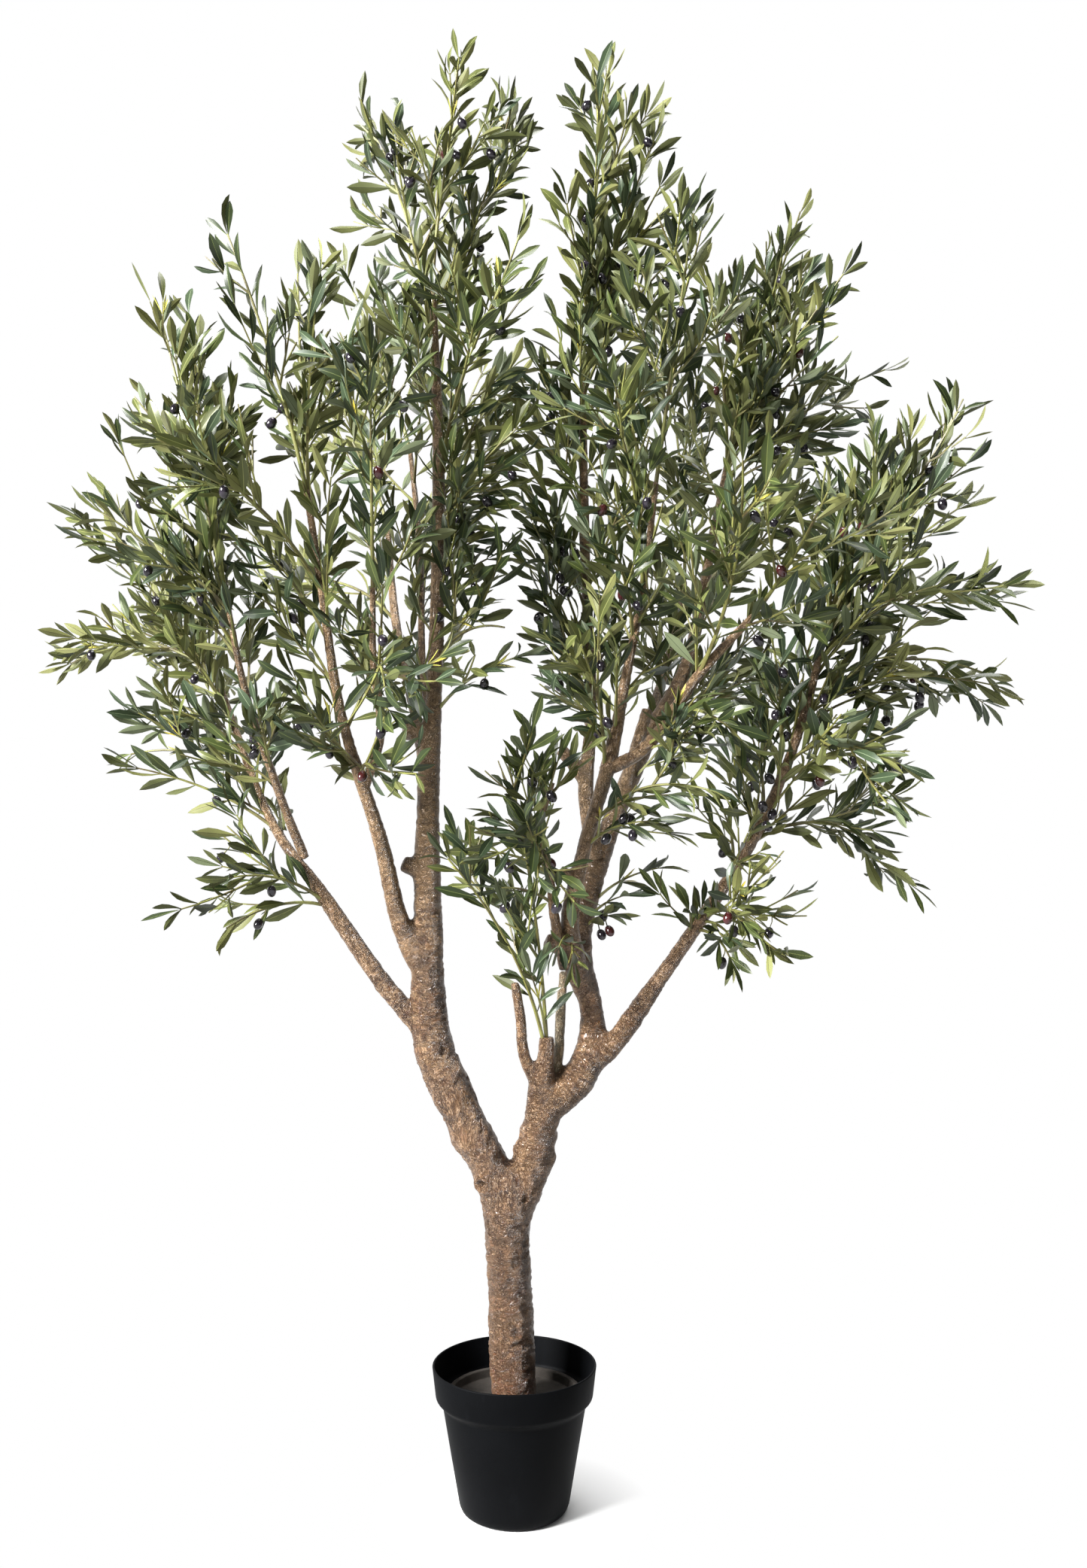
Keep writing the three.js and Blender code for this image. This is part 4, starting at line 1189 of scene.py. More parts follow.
def value_noise(points, seed):
    """Smooth noise from -1 to 1, one lump a unit of length."""
    cell = np.floor(points).astype(np.int64)
    part = points - cell
    fade = part**3 * (part * (part * 6 - 15) + 10)
    total = np.zeros(len(points))
    for corner in itertools.product((0, 1), repeat=3):
        key = cell + np.array(corner)
        mix = (key[:, 0] * 73856093) ^ (key[:, 1] * 19349663)
        mix = mix ^ (key[:, 2] * 83492791) ^ (seed * 2654435)
        mix = ((mix ^ (mix >> 13)) * 1274126177) & 0xFFFFFFFF
        mix = ((mix ^ (mix >> 15)) * 2246822519) & 0xFFFFFFFF
        value = ((mix ^ (mix >> 16)) & 0xFFFF) / 32767.5 - 1
        total += value * np.prod(np.where(corner, fade, 1 - fade), axis=1)
    return total


def points_of(mesh):
    values = np.empty(len(mesh.vertices) * 3)
    mesh.vertices.foreach_get("co", values)
    return values.reshape(-1, 3)


def normals_of(mesh):
    values = np.empty(len(mesh.vertices) * 3, np.float32)
    mesh.vertex_normals.foreach_get("vector", values)
    return values.reshape(-1, 3).astype(float)


# Marks of the bark: centre in millimetres, kind, half width and height. A knob is round, a ring goes round
# the limb, and an eye is a knob with a rim and a pit.
BARK_MARKS = [
    ((-45, -23, 470), "eye", 10, 6.2),
    ((-15, -20, 487), "knob", 5, -3.0),
    ((-22, -25, 479), "knob", 5, -2.4),
    ((-80, -4, 524), "knob", 18, 7.0),
    ((-70, -20, 520), "knob", 11, 3.0),
    ((-104, -8, 585), "knob", 12, 3.5),
    ((31, 0, 513), "ring", 9, 2.4),
    ((31, 0, 525), "ring", 4, -1.6),
    ((31, 0, 540), "ring", 8, 2.2),
    ((54, -4, 500), "knob", 13, 2.4),
    ((6, -6, 524), "knob", 12, 3.5),
    ((-187, 0, 752), "ring", 5, 3.4),
    ((-196, 0, 764), "ring", 3.5, -2.0),
    ((-152, 0, 706), "ring", 6, 2.6),
    ((168, -2, 701), "ring", 5, 3.4),
    ((177, -3, 710), "ring", 3.5, -2.0),
    ((-6, -32, 372), "knob", 9, 3.0),
    ((12, -33, 340), "knob", 7, 2.4),
    ((4, -33, 262), "eye", 9, 2.2),
    ((16, -31, 238), "knob", 9, 3.0),
    ((14, -29, 430), "knob", 14, 2.6),
    ((-30, -22, 300), "knob", 16, 2.5),
    ((-92, -28, 622), "knob", 11, 3.4),
    ((-128, -24, 690), "knob", 12, 3.4),
    ((-126, -20, 800), "knob", 9, 3.0),
    ((-152, 0, 745), "knob", 15, 4.0),
    ((112, 0, 806), "ring", 10, 2.4),
    ((76, -20, 598), "knob", 11, 3.4),
    ((104, -14, 640), "knob", 10, 3.0),
    ((134, -6, 648), "knob", 12, 3.0),
]

# How far round its centre a ring is drawn.
MARK_REACH = 37

# The fork of the two arms stays a sharp V: its place, and how far the skin is smoothed less.
CROTCH = (-8, 0, 496)
CROTCH_REACH = 30

# Where long furrows along the limb take over from the folds round it: centre, reach and share.
FURROWS = [
    ((-82, 0, 570), 85, 1.0),
    ((0, -20, 462), 55, 0.7),
    ((70, 0, 600), 40, 0.35),
    ((-6, -10, 230), 45, 0.4),
]

# Sizes of the relief's patterns in millimetres: the broad lumps, the bends of the lines, and the folds,
# furrows, grain and pits, each in both directions across the limb and along it.
LUMP_SIZE = 46
SMALL_LUMP_SIZE = 24
LUMP_STRETCH = (1, 1, 0.55)
BEND_SIZE = 28
FOLD_SIZE = (22, 22, 8)
FURROW_SIZE = (14, 14, 64)
GRAIN_SIZE = (10, 10, 5.5)
PIT_SIZE = (15, 15, 8)

# How far the lines bend, and the heights of folds, furrows, grain and pits, for a limb 30 mm in radius.
BEND_REACH = 9
FOLD_HEIGHT = 1.1
FURROW_HEIGHT = 2.2
GRAIN_HEIGHT = 0.75
PIT_DEPTH = 1.5

# Limbs thinner than this have streaks along them, which set in over the next few millimetres.
STREAK_RADIUS = 17
STREAK_BLEND = 5

# Radii up to which the skin is smoothed less and has less relief, and the least share of each.
SMOOTH_RADIUS = 26
SMOOTH_LEAST = 0.2
RELIEF_RADIUS = 30
RELIEF_LEAST = 0.12

# Steps along a limb for its curve and for the places on it, and how many points are placed at once.
CURVE_STEP = 14
PLACE_STEP = 26
POINTS_AT_ONCE = 6000

# How far from the line between two limbs the pattern fades.
EDGE_FADE = 9

# Up to this height the pattern keeps to plain coordinates, so that no seam shows where the arms part.
# Above it, over the next stretch, it turns to each limb's own.
PLAIN_TOP = 552
PLAIN_BLEND = 55


class LimbPlaces:
    """For each point its nearest limb, how thick that is there, how much nearer than the next limb it is,
    and the place on it: two sizes across the limb and one along it, in millimetres."""

    def __init__(self, limb_rows, points):
        centres, headings, radii = zip(*limb_rows)

        def both_ends(columns):
            return [np.concatenate([rows[part] for rows in columns]) for part in (slice(-1), slice(1, None))]

        starts, ends = both_ends(centres)
        low_way, high_way = both_ends(headings)
        low_skin, high_skin = both_ends(radii)
        heads = np.cumsum([0] + [len(c) - 1 for c in centres])[:-1]
        steps = np.linalg.norm(ends - starts, axis=1)
        before = np.cumsum(steps) - steps
        runs = [len(c) - 1 for c in centres]
        before = before - np.repeat(before[heads], runs) + np.repeat([c[0][2] for c in centres], runs)
        owner = np.repeat(np.arange(len(centres)), runs)
        found = []
        for low in range(0, len(points), POINTS_AT_ONCE):
            some = points[low : low + POINTS_AT_ONCE] / MM
            gap, t = Space.distances(some, starts, ends)
            deep = gap - (low_skin * (1 - t) + high_skin * t)
            near = np.argmin(deep, axis=1)
            each = np.sort(np.minimum.reduceat(deep, heads, axis=1), axis=1)
            edge = each[:, 1] - each[:, 0]
            t = t[np.arange(len(some)), near][:, None]
            way = low_way[near] * (1 - t) + high_way[near] * t
            way /= np.linalg.norm(way, axis=1)[:, None]
            back = np.array((0, 1.0, 0)) - way * way[:, 1:2]
            back /= np.linalg.norm(back, axis=1)[:, None]
            offset = some - starts[near] * (1 - t) - ends[near] * t
            across = (offset * np.cross(back, way)).sum(1)
            t = t[:, 0]
            skin = low_skin[near] * (1 - t) + high_skin[near] * t
            place = np.stack([across, (offset * back).sum(1), before[near] + steps[near] * t], axis=1)
            found.append((owner[near], skin, edge, way, place))
        self.owner, self.radius, self.edge, self.way, self.place = map(np.concatenate, zip(*found))


def bark_relief(points, limbs, lump):
    """Height of the bark over the smooth limb at each point in millimetres, the part of it that sets painted
    shade where it is low and painted highlights where it is high, and the share of streaks along the limb."""
    p = points / MM
    broad = value_noise(p / LUMP_SIZE * LUMP_STRETCH, 3)
    broad = broad + 0.5 * value_noise(p / SMALL_LUMP_SIZE * LUMP_STRETCH, 5)
    bend = BEND_REACH * np.stack([value_noise(p / BEND_SIZE, 7 + k) for k in range(3)], axis=1)
    share = sum(part * np.exp(-(((p - centre) / reach) ** 2).sum(1)) for centre, reach, part in FURROWS)
    share = np.clip(share, 0, 1)

    def folds_at(bent):
        fold = 0.6 - 2 * np.abs(value_noise(bent / FOLD_SIZE, 13))
        furrow = 0.6 - 2 * np.abs(value_noise(bent / FURROW_SIZE, 19))
        grain = value_noise(bent / GRAIN_SIZE, 11)
        pit = np.clip((value_noise(bent / PIT_SIZE, 29) - 0.36) / 0.25, 0, 1)
        folded = FOLD_HEIGHT * fold * (1 - 0.8 * share) + FURROW_HEIGHT * furrow * share
        return folded + GRAIN_HEIGHT * grain - PIT_DEPTH * pit

    own = np.clip((p[:, 2] - PLAIN_TOP) / PLAIN_BLEND, 0, 1)
    fade = np.clip(limbs.edge / EDGE_FADE, 0, 1)
    folds = folds_at(p + bend) * (1 - own) + folds_at(limbs.place + bend) * own * fade
    height = lump / MM * 0.55 * broad + folds
    marks = np.zeros(len(p))
    for centre, kind, half, rise in BARK_MARKS:
        offset = p - centre
        far = np.linalg.norm(offset, axis=1)
        if kind == "ring":
            shape = np.exp(-(((offset * limbs.way).sum(1) / half) ** 2)) * (far < MARK_REACH)
            shape = shape * (0.75 + 0.6 * value_noise(p / 12, 17))
        elif kind == "eye":
            rim = np.exp(-(((far - half) / (0.45 * half)) ** 2))
            shape = rim - 0.6 * np.exp(-((far / (0.5 * half)) ** 2))
        else:
            shape = np.exp(-((far / half) ** 2))
        marks = marks + rise * shape
    thin = np.clip((STREAK_RADIUS - limbs.radius) / STREAK_BLEND, 0, 1)
    streaks = np.clip(share + 0.7 * thin, 0, 1)
    return height + marks, folds + 0.3 * marks, streaks


def relaxed(points, edges, share, steps):
    """The points smoothed along their edges, each by its own share in every step."""
    first, second = edges.T
    size = len(points)
    count = np.bincount(edges.ravel(), minlength=size)
    for _ in range(steps):
        sums = [np.bincount(first, points[second, k], size) + np.bincount(second, points[first, k], size)
                for k in range(3)]
        points = points + share[:, None] * (np.stack(sums, axis=1) / count[:, None] - points)
    return points


def limb_curve(points):
    """A limb as a curve object with a round section that tapers, made a mesh."""
    centres, _, radii = stations_of(points, CURVE_STEP)
    bpy.ops.curve.primitive_nurbs_path_add(radius=1, location=(0, 0, 0))
    limb = bpy.context.object
    curve = limb.data
    curve.splines.clear()
    spline = curve.splines.new("POLY")
    spline.points.add(len(centres) - 1)
    for point, centre, radius in zip(spline.points, centres, radii):
        point.co = (*(centre * MM), 1)
        point.radius = radius * MM
    curve.dimensions = "3D"
    curve.bevel_depth = 1
    curve.bevel_resolution = 10
    curve.use_fill_caps = True
    choose(limb)
    bpy.ops.object.convert(target="MESH")
    return bpy.context.object


def add_attribute(mesh, name, kind, values):
    made = mesh.attributes.new(name, kind, "POINT")
    field = "vector" if kind == "FLOAT_VECTOR" else "value"
    made.data.foreach_set(field, values.astype(np.float32).ravel())


def bark_piece(rows, voxel, lump_height, smooth_steps, pale=None):
    """Limbs joined into one skin, with the bark's relief in its faces. The limb pale has a paler paint."""
    deselect_all()
    limbs = [limb_curve(points) for points in rows]
    choose(*limbs)
    bpy.ops.object.join()
    piece = bpy.context.object
    remesh = piece.modifiers.new("skin", "REMESH")
    remesh.mode = "VOXEL"
    remesh.voxel_size = voxel
    apply_modifiers(piece)
    mesh = piece.data
    places = LimbPlaces([stations_of(row, PLACE_STEP) for row in rows], points_of(mesh))
    edges = np.empty(len(mesh.edges) * 2, np.int32)
    mesh.edges.foreach_get("vertices", edges)
    soft = 0.5 * np.clip(places.radius / SMOOTH_RADIUS, SMOOTH_LEAST, 1) ** 2
    far = np.linalg.norm(points_of(mesh) / MM - CROTCH, axis=1)
    soft = soft * (1 - 0.93 * np.exp(-((far / CROTCH_REACH) ** 2)))
    smooth = relaxed(points_of(mesh), edges.reshape(-1, 2), soft, smooth_steps)
    mesh.vertices.foreach_set("co", smooth.ravel())
    mesh.update()
    height, folds, streaks = bark_relief(smooth, places, lump_height)
    height = height * np.clip(places.radius / RELIEF_RADIUS, RELIEF_LEAST, 1.0) * MM
    moved = smooth + normals_of(mesh) * height[:, None]
    mesh.vertices.foreach_set("co", moved.ravel())
    # hollow is high in the low places of the relief, where the bark material puts painted shade, and low on
    # the ridges, where it puts painted highlights.
    add_attribute(mesh, "hollow", "FLOAT", np.clip(0.5 - 0.36 * folds, 0, 1))
    add_attribute(mesh, "streaks", "FLOAT", streaks)
    add_attribute(mesh, "place", "FLOAT_VECTOR", places.place * MM)
    add_attribute(mesh, "pale", "FLOAT", 0 * folds if pale is None else places.owner == pale)
    mesh.update()
    choose(piece)
    bpy.ops.object.shade_smooth()
    return piece


# Turned pieces


# The radius in metres that stands for the axis, because a ring can't be scaled up from nothing.
AXIS = 0.0002


def turned(profile, sides):
    """A closed solid turned about the Z axis from (radius, height) rows that start and end at the axis."""
    deselect_all()
    radius, height = profile[0]
    bpy.ops.mesh.primitive_circle_add(
        vertices=sides, radius=radius, location=(0, 0, height), fill_type="NGON"
    )
    piece = bpy.context.object
    bpy.ops.object.mode_set(mode="EDIT")
    bpy.ops.mesh.select_all(action="SELECT")
    bpy.ops.mesh.flip_normals()
    bpy.ops.mesh.select_mode(type="EDGE")
    bpy.ops.mesh.select_all(action="SELECT")
    for (radius, height), (next_radius, next_height) in zip(profile, profile[1:]):
        bpy.ops.mesh.extrude_edges_move(TRANSFORM_OT_translate={"value": (0, 0, next_height - height)})
        share = next_radius / radius
        bpy.ops.transform.resize(value=(share, share, 1), center_override=(0, 0, next_height))
    bpy.ops.mesh.edge_face_add()
    bpy.ops.mesh.select_all(action="SELECT")
    bpy.ops.mesh.normals_make_consistent(inside=False)
    bpy.ops.object.mode_set(mode="OBJECT")
    choose(piece)
    bpy.ops.object.transform_apply(location=True, rotation=True, scale=True)
    return piece


def rounded(profile, radius, steps=4):
    """The profile with each inner corner replaced by a small arc of about the given radius."""
    rows = [np.array(row, float) for row in profile]
    made = [tuple(rows[0])]
    for before, corner, after in zip(rows, rows[1:], rows[2:]):
        reach = min(radius, 0.45 * np.linalg.norm(corner - before), 0.45 * np.linalg.norm(after - corner))
        start = corner + unit(before - corner) * reach
        end = corner + unit(after - corner) * reach
        for i in range(steps + 1):
            t = i / steps
            made.append(tuple(start * (1 - t) ** 2 + corner * 2 * t * (1 - t) + end * t * t))
    return [*made, tuple(rows[-1])]


# Materials. A colour mix takes its factor at socket 0 and its two colours at 6 and 7, and gives the mixed
# colour at output 2.


def polypropylene(settings):
    """Charcoal polypropylene, injection moulded: dull, faintly grained, with a few rubbed places."""
    material, tree, shader = new_material(
        "moulded_polypropylene", Roughness=0.5, IOR=1.49, Specular_IOR_Level=0.05
    )
    # Clouds of about 70 mm, and rubbed marks of about 26 mm that are longer up the wall.
    cloud = pattern(tree, "ShaderNodeTexNoise", 14, Detail=4).outputs["Fac"]
    rub = pattern(tree, "ShaderNodeTexNoise", 38, (1, 1, 0.35), Detail=6, Roughness=0.7).outputs["Fac"]
    plastic = settings.plastic
    clouds = ((0.35, opaque(plastic, 0.72)), (0.65, opaque(plastic)))
    colour = add_node(tree, "ShaderNodeValToRGB", {"Fac": cloud}, clouds).outputs[0]
    rubs = ((0.56, BLACK), (0.78, grey(0.55)))
    marks = add_node(tree, "ShaderNodeValToRGB", {"Fac": rub}, rubs).outputs[0]
    worn = add_node(tree, "ShaderNodeMix", {0: marks, 6: colour, 7: opaque(plastic, 1.9)}, data_type="RGBA")
    tree.links.new(worn.outputs[2], shader.inputs["Base Color"])
    rough = add_node(tree, "ShaderNodeMapRange", {"Value": cloud, "To Min": 0.46, "To Max": 0.66})
    tree.links.new(rough.outputs[0], shader.inputs["Roughness"])
    # Spark-eroded grain of about 0.4 mm, drawn at 1.5 mm so that it shows.
    grain = pattern(tree, "ShaderNodeTexNoise", 1 / (1.5 * MM), Detail=2).outputs["Fac"]
    relief = add_node(tree, "ShaderNodeBump", {"Height": grain, "Distance": 0.12 * MM})
    tree.links.new(relief.outputs["Normal"], shader.inputs["Normal"])
    return material


def cast_cement(settings):
    """Cement cast in a pot: flat grey brown, dusty, with sandy grain and shallow pits."""
    material, tree, shader = new_material("cast_cement", Roughness=0.92, Specular_IOR_Level=0.2)
    # Blotches of about 38 mm.
    cloud = pattern(tree, "ShaderNodeTexNoise", 26, Detail=6, Roughness=0.65).outputs["Fac"]
    shares = ((0.3, 0.5), (0.55, 1.0), (0.75, 1.5))
    stops = [(place, opaque(settings.cement, share)) for place, share in shares]
    colour = add_node(tree, "ShaderNodeValToRGB", {"Fac": cloud}, stops)
    tree.links.new(colour.outputs[0], shader.inputs["Base Color"])
    # Sand of about 1 mm, drawn at 2.2 mm so that it shows.
    sand = pattern(tree, "ShaderNodeTexNoise", 1 / (2.2 * MM), Detail=3, Roughness=0.7).outputs["Fac"]
    relief = add_node(tree, "ShaderNodeBump", {"Height": sand, "Distance": 0.5 * MM})
    tree.links.new(relief.outputs["Normal"], shader.inputs["Normal"])
    return material


def painted_bark(settings):
    """Moulded foam bark under acrylic paint: tan with reddish brown mottles, wrinkled, with a satin skin,
    and with painted shade in its hollows and grooves and painted highlights on its ridges and crests.
    """
    material, tree, shader = new_material(
        "painted_foam_bark", Roughness=0.34, IOR=1.5, Specular_IOR_Level=0.75
    )
    light, brown, dark = (opaque(getattr(settings, name)) for name in ("light", "brown", "dark"))
    # Places on the limb itself, so that folds go round it and streaks run along it; plain ones on the shaft.
    on_limb = add_node(tree, "ShaderNodeAttribute", attribute_name="place").outputs["Vector"]
    place = add_node(tree, "ShaderNodeTexCoord").outputs["Object"]
    height = add_node(tree, "ShaderNodeSeparateXYZ", {0: place}).outputs[2]

    def over_height(bottom, top, first, last):
        """A share that runs from first to last between two heights in metres."""
        inputs = {"Value": height, "From Min": bottom, "From Max": top, "To Min": first, "To Max": last}
        return add_node(tree, "ShaderNodeMapRange", inputs).outputs[0]

    own = over_height(PLAIN_TOP * MM, (PLAIN_TOP + PLAIN_BLEND) * MM, 0.0, 1.0)

    def limb_noise(scale, stretch, detail, distortion):
        """Noise on plain places low on the tree, and above on the limb's own."""
        both = []
        for vector in (place, on_limb):
            mapping = add_node(tree, "ShaderNodeMapping", {"Vector": vector, "Scale": stretch})
            inputs = {"Vector": mapping.outputs[0], "Scale": scale, "Detail": detail, "Roughness": 0.6}
            inputs["Distortion"] = distortion
            both.append(add_node(tree, "ShaderNodeTexNoise", inputs).outputs["Fac"])
        return add_node(tree, "ShaderNodeMix", {0: own, 6: both[0], 7: both[1]}, data_type="RGBA").outputs[2]

    # Brushed patches of about 40 mm, and dabs of about 9 mm.
    patch = pattern(tree, "ShaderNodeTexNoise", 24, (1, 1, 0.6), Detail=3, Roughness=0.6, Distortion=0.6)
    dab = pattern(tree, "ShaderNodeTexNoise", 105, Detail=5, Roughness=0.65, Distortion=0.9)
    inputs = {0: 0.26, 6: patch.outputs["Fac"], 7: dab.outputs["Fac"]}
    blend = add_node(tree, "ShaderNodeMix", inputs, data_type="RGBA").outputs[2]
    mottles = ((0.36, light), (0.47, linear("#67472d")), (0.57, brown), (0.7, linear("#382216")))
    colour = add_node(tree, "ShaderNodeValToRGB", {"Fac": blend}, mottles).outputs[0]

    pale = add_node(tree, "ShaderNodeAttribute", attribute_name="pale").outputs["Fac"]

    # Ridges of the relief painted lighter, partly rubbed paint and partly painted highlight, and its hollows
    # painted darker as painted shade.
    hollow = add_node(tree, "ShaderNodeAttribute", attribute_name="hollow").outputs["Fac"]
    ridges = ((0.18, grey(0.42)), (0.45, BLACK))
    ridge_rub_and_highlight = add_node(tree, "ShaderNodeValToRGB", {"Fac": hollow}, ridges).outputs[0]
    hollows = ((0.55, BLACK), (1.0, grey(0.42)))
    deep = add_node(tree, "ShaderNodeValToRGB", {"Fac": hollow}, hollows).outputs[0]

    # Wrinkles of the moulded skin: thin wavy grooves about 5 mm apart round the limb, and streaks along it.
    # The grooves are painted darker as painted shade, and the crests beside them paler as painted
    # highlights.
    level = limb_noise(78, (1, 1, 2.0), 3, 1.6)
    streak = limb_noise(120, (1, 1, 0.25), 4, 0.8)
    choice = add_node(tree, "ShaderNodeAttribute", attribute_name="streaks").outputs["Fac"]
    wave = add_node(tree, "ShaderNodeMix", {0: choice, 6: level, 7: streak}, data_type="RGBA").outputs[2]
    middle = add_node(tree, "ShaderNodeMath", {0: wave, 1: 0.5}, operation="SUBTRACT").outputs[0]
    groove = add_node(tree, "ShaderNodeMath", {0: middle}, operation="ABSOLUTE").outputs[0]
    grooves = ((0.0, BLACK), (0.042, WHITE), (0.12, grey(0.5)))
    line = add_node(tree, "ShaderNodeValToRGB", {"Fac": groove}, grooves).outputs[0]
    # Painted shade in the grooves of the wrinkles.
    shade = add_node(tree, "ShaderNodeMapRange", {"Value": line, "To Min": 0.34, "To Max": 0.0}).outputs[0]
    crests = ((0.02, BLACK), (0.05, grey(0.46)), (0.08, BLACK))
    crest_highlight = add_node(tree, "ShaderNodeValToRGB", {"Fac": groove}, crests).outputs[0]

    # Brush marks of about 15 mm that lie across the limb, cream and brown, more in some places.
    brush = limb_noise(58, (1, 1, 1.8), 3, 1.2)
    cloud = pattern(tree, "ShaderNodeTexNoise", 9, Detail=1).outputs["Fac"]
    inputs = {"Value": cloud, "From Min": 0.4, "From Max": 0.6, "To Min": 0.02}
    inputs["To Max"] = over_height(0.46, 0.58, 0.1, 0.6)
    much = add_node(tree, "ShaderNodeMapRange", inputs).outputs[0]
    strokes = []
    for stops in (((0.36, WHITE), (0.5, BLACK)), ((0.53, BLACK), (0.62, WHITE))):
        stroke = add_node(tree, "ShaderNodeValToRGB", {"Fac": brush}, stops).outputs[0]
        dimmed = add_node(tree, "ShaderNodeMath", {0: stroke, 1: much}, operation="MULTIPLY")
        strokes.append(dimmed.outputs[0])

    # The layers of paint over the mottles, from the first: the share of each and its colour. It turns redder
    # towards the cement and greyer on the higher boughs, and one shoot is pale. Then come painted highlights
    # on the ridges, which are partly rubbed paint, painted shade in the hollows and in the grooves, painted
    # highlights on the crests, and the brush marks.
    layers = (
        (over_height(0.16, 0.26, 0.8, 0.0), linear("#683a24")),
        (over_height(0.72, 1.0, 0.0, 0.8), linear("#8b714f")),
        (pale, linear("#a59a80")),
        (ridge_rub_and_highlight, linear("#8f6b4e")),
        (deep, dark),
        (shade, dark),
        (crest_highlight, linear("#bea07e")),
        (strokes[0], linear("#ad8d6c")),
        (strokes[1], linear("#422719")),
    )
    for share, paint in layers:
        layer = add_node(tree, "ShaderNodeMix", {0: share, 6: colour, 7: paint}, data_type="RGBA")
        colour = layer.outputs[2]
    tree.links.new(colour, shader.inputs["Base Color"])
    rough = add_node(tree, "ShaderNodeMapRange", {"Value": line, "To Min": 0.42, "To Max": 0.28})
    tree.links.new(rough.outputs[0], shader.inputs["Roughness"])
    relief = add_node(tree, "ShaderNodeBump", {"Height": line, "Distance": 2.4 * MM})
    tree.links.new(relief.outputs["Normal"], shader.inputs["Normal"])
    return material


def leaf_cloth(name, colour, roughness, spread):
    """Dyed polyester leaf cloth, hot pressed: even colour with a soft satin shine and a faint weave."""
    material, tree, shader = new_material(name, Roughness=roughness, IOR=1.46, Specular_IOR_Level=0.42)
    # Lighter and darker leaves, by clouds of about 60 mm.
    cloud = pattern(tree, "ShaderNodeTexNoise", 16, Detail=2).outputs["Fac"]
    base = linear(colour)
    stops = ((0.35, opaque(base, 1 - spread)), (0.65, opaque(base, 1 + spread)))
    shade = add_node(tree, "ShaderNodeValToRGB", {"Fac": cloud}, stops)
    tree.links.new(shade.outputs[0], shader.inputs["Base Color"])
    # Threads of about 0.2 mm, drawn at 1.2 mm so that they show.
    weave = pattern(tree, "ShaderNodeTexNoise", 1 / (1.2 * MM), Detail=1).outputs["Fac"]
    relief = add_node(tree, "ShaderNodeBump", {"Height": weave, "Distance": 0.05 * MM})
    tree.links.new(relief.outputs["Normal"], shader.inputs["Normal"])
    return material


def leaf_cloths(name, colours, roughness):
    """The cloths of a leaf's upper blade and rib and of its lower ones. The ribs are more even in colour."""
    parts = zip(("face", "rib", "back", "back_rib"), colours, roughness, (0.16, 0.05, 0.16, 0.05))
    return [leaf_cloth(f"{name}_{part}", colour, rough, spread) for part, colour, rough, spread in parts]


def green_twig():
    """Extruded polyethylene over wire: yellow green, browner where the noise is low, with a dull shine."""
    material, tree, shader = new_material("twig_polyethylene", Roughness=0.5, IOR=1.5)
    # Browner and greener lengths of about 33 mm.
    cloud = pattern(tree, "ShaderNodeTexNoise", 30, Detail=4).outputs["Fac"]
    stops = ((0.32, linear("#544a2d")), (0.5, linear("#6f6d3a")), (0.7, linear("#868a4a")))
    colour = add_node(tree, "ShaderNodeValToRGB", {"Fac": cloud}, stops)
    tree.links.new(colour.outputs[0], shader.inputs["Base Color"])
    # Knots of about 3 mm.
    knots = pattern(tree, "ShaderNodeTexNoise", 300, Detail=2).outputs["Fac"]
    relief = add_node(tree, "ShaderNodeBump", {"Height": knots, "Distance": 0.3 * MM})
    tree.links.new(relief.outputs["Normal"], shader.inputs["Normal"])
    return material


def olive_skin(name, colour, bloom):
    """Lacquered foam olive: very dark, glossy, with a faint paler bloom."""
    material, tree, shader = new_material(
        name, Roughness=0.16, IOR=1.5, Coat_Weight=0.6, Coat_Roughness=0.06
    )
    # Bloom in clouds of about 14 mm.
    cloud = pattern(tree, "ShaderNodeTexNoise", 70, Detail=3).outputs["Fac"]
    stops = ((0.45, linear(colour)), (0.75, linear(bloom)))
    shade = add_node(tree, "ShaderNodeValToRGB", {"Fac": cloud}, stops)
    tree.links.new(shade.outputs[0], shader.inputs["Base Color"])
    return material


# Operators, one for each group of pieces


class OLIVE_OT_pot(bpy.types.Operator):
    """Turns the pot: a tapering body, a shoulder and a rim band with a rounded lip."""

    bl_idname = "olive_tree.pot"
    bl_label = "Pot"

    def execute(self, context):
        s = context.scene.olive_pot
        top, rim, foot, wall = s.height, s.rim_radius, s.foot_radius, s.wall
        lip = wall / 2
        # The width of the foot's edge, and the radius and height of the neck and of the band above it.
        edge = 0.012
        neck, neck_level = 0.103, 0.154
        band, band_level = 0.1125, 0.163
        outer = [
            (AXIS, 0), (foot - edge, 0), (foot - 0.3 * edge, 0.3 * edge), (foot, edge),
            (neck, neck_level), (band, band_level), (rim, top - lip),
        ]
        inner = [
            (rim - 2 * lip, top - lip), (band - wall, band_level + wall), (neck - wall, neck_level + wall),
            (foot - wall, edge), (foot - wall - edge, wall), (AXIS, wall),
        ]
        crown = [
            (rim - lip + lip * math.cos(a), top - lip + lip * math.sin(a))
            for a in (math.pi * k / 6 for k in range(1, 6))
        ]
        profile = rounded(outer, 0.0035) + crown + rounded(inner, 0.003)
        pot = turned(profile, 128)
        pot.data.materials.append(polypropylene(s))
        smooth_by_angle(pot, 40)
        add_piece(pot, "pot_body", "pot_plastic", "pot")
        return {"FINISHED"}


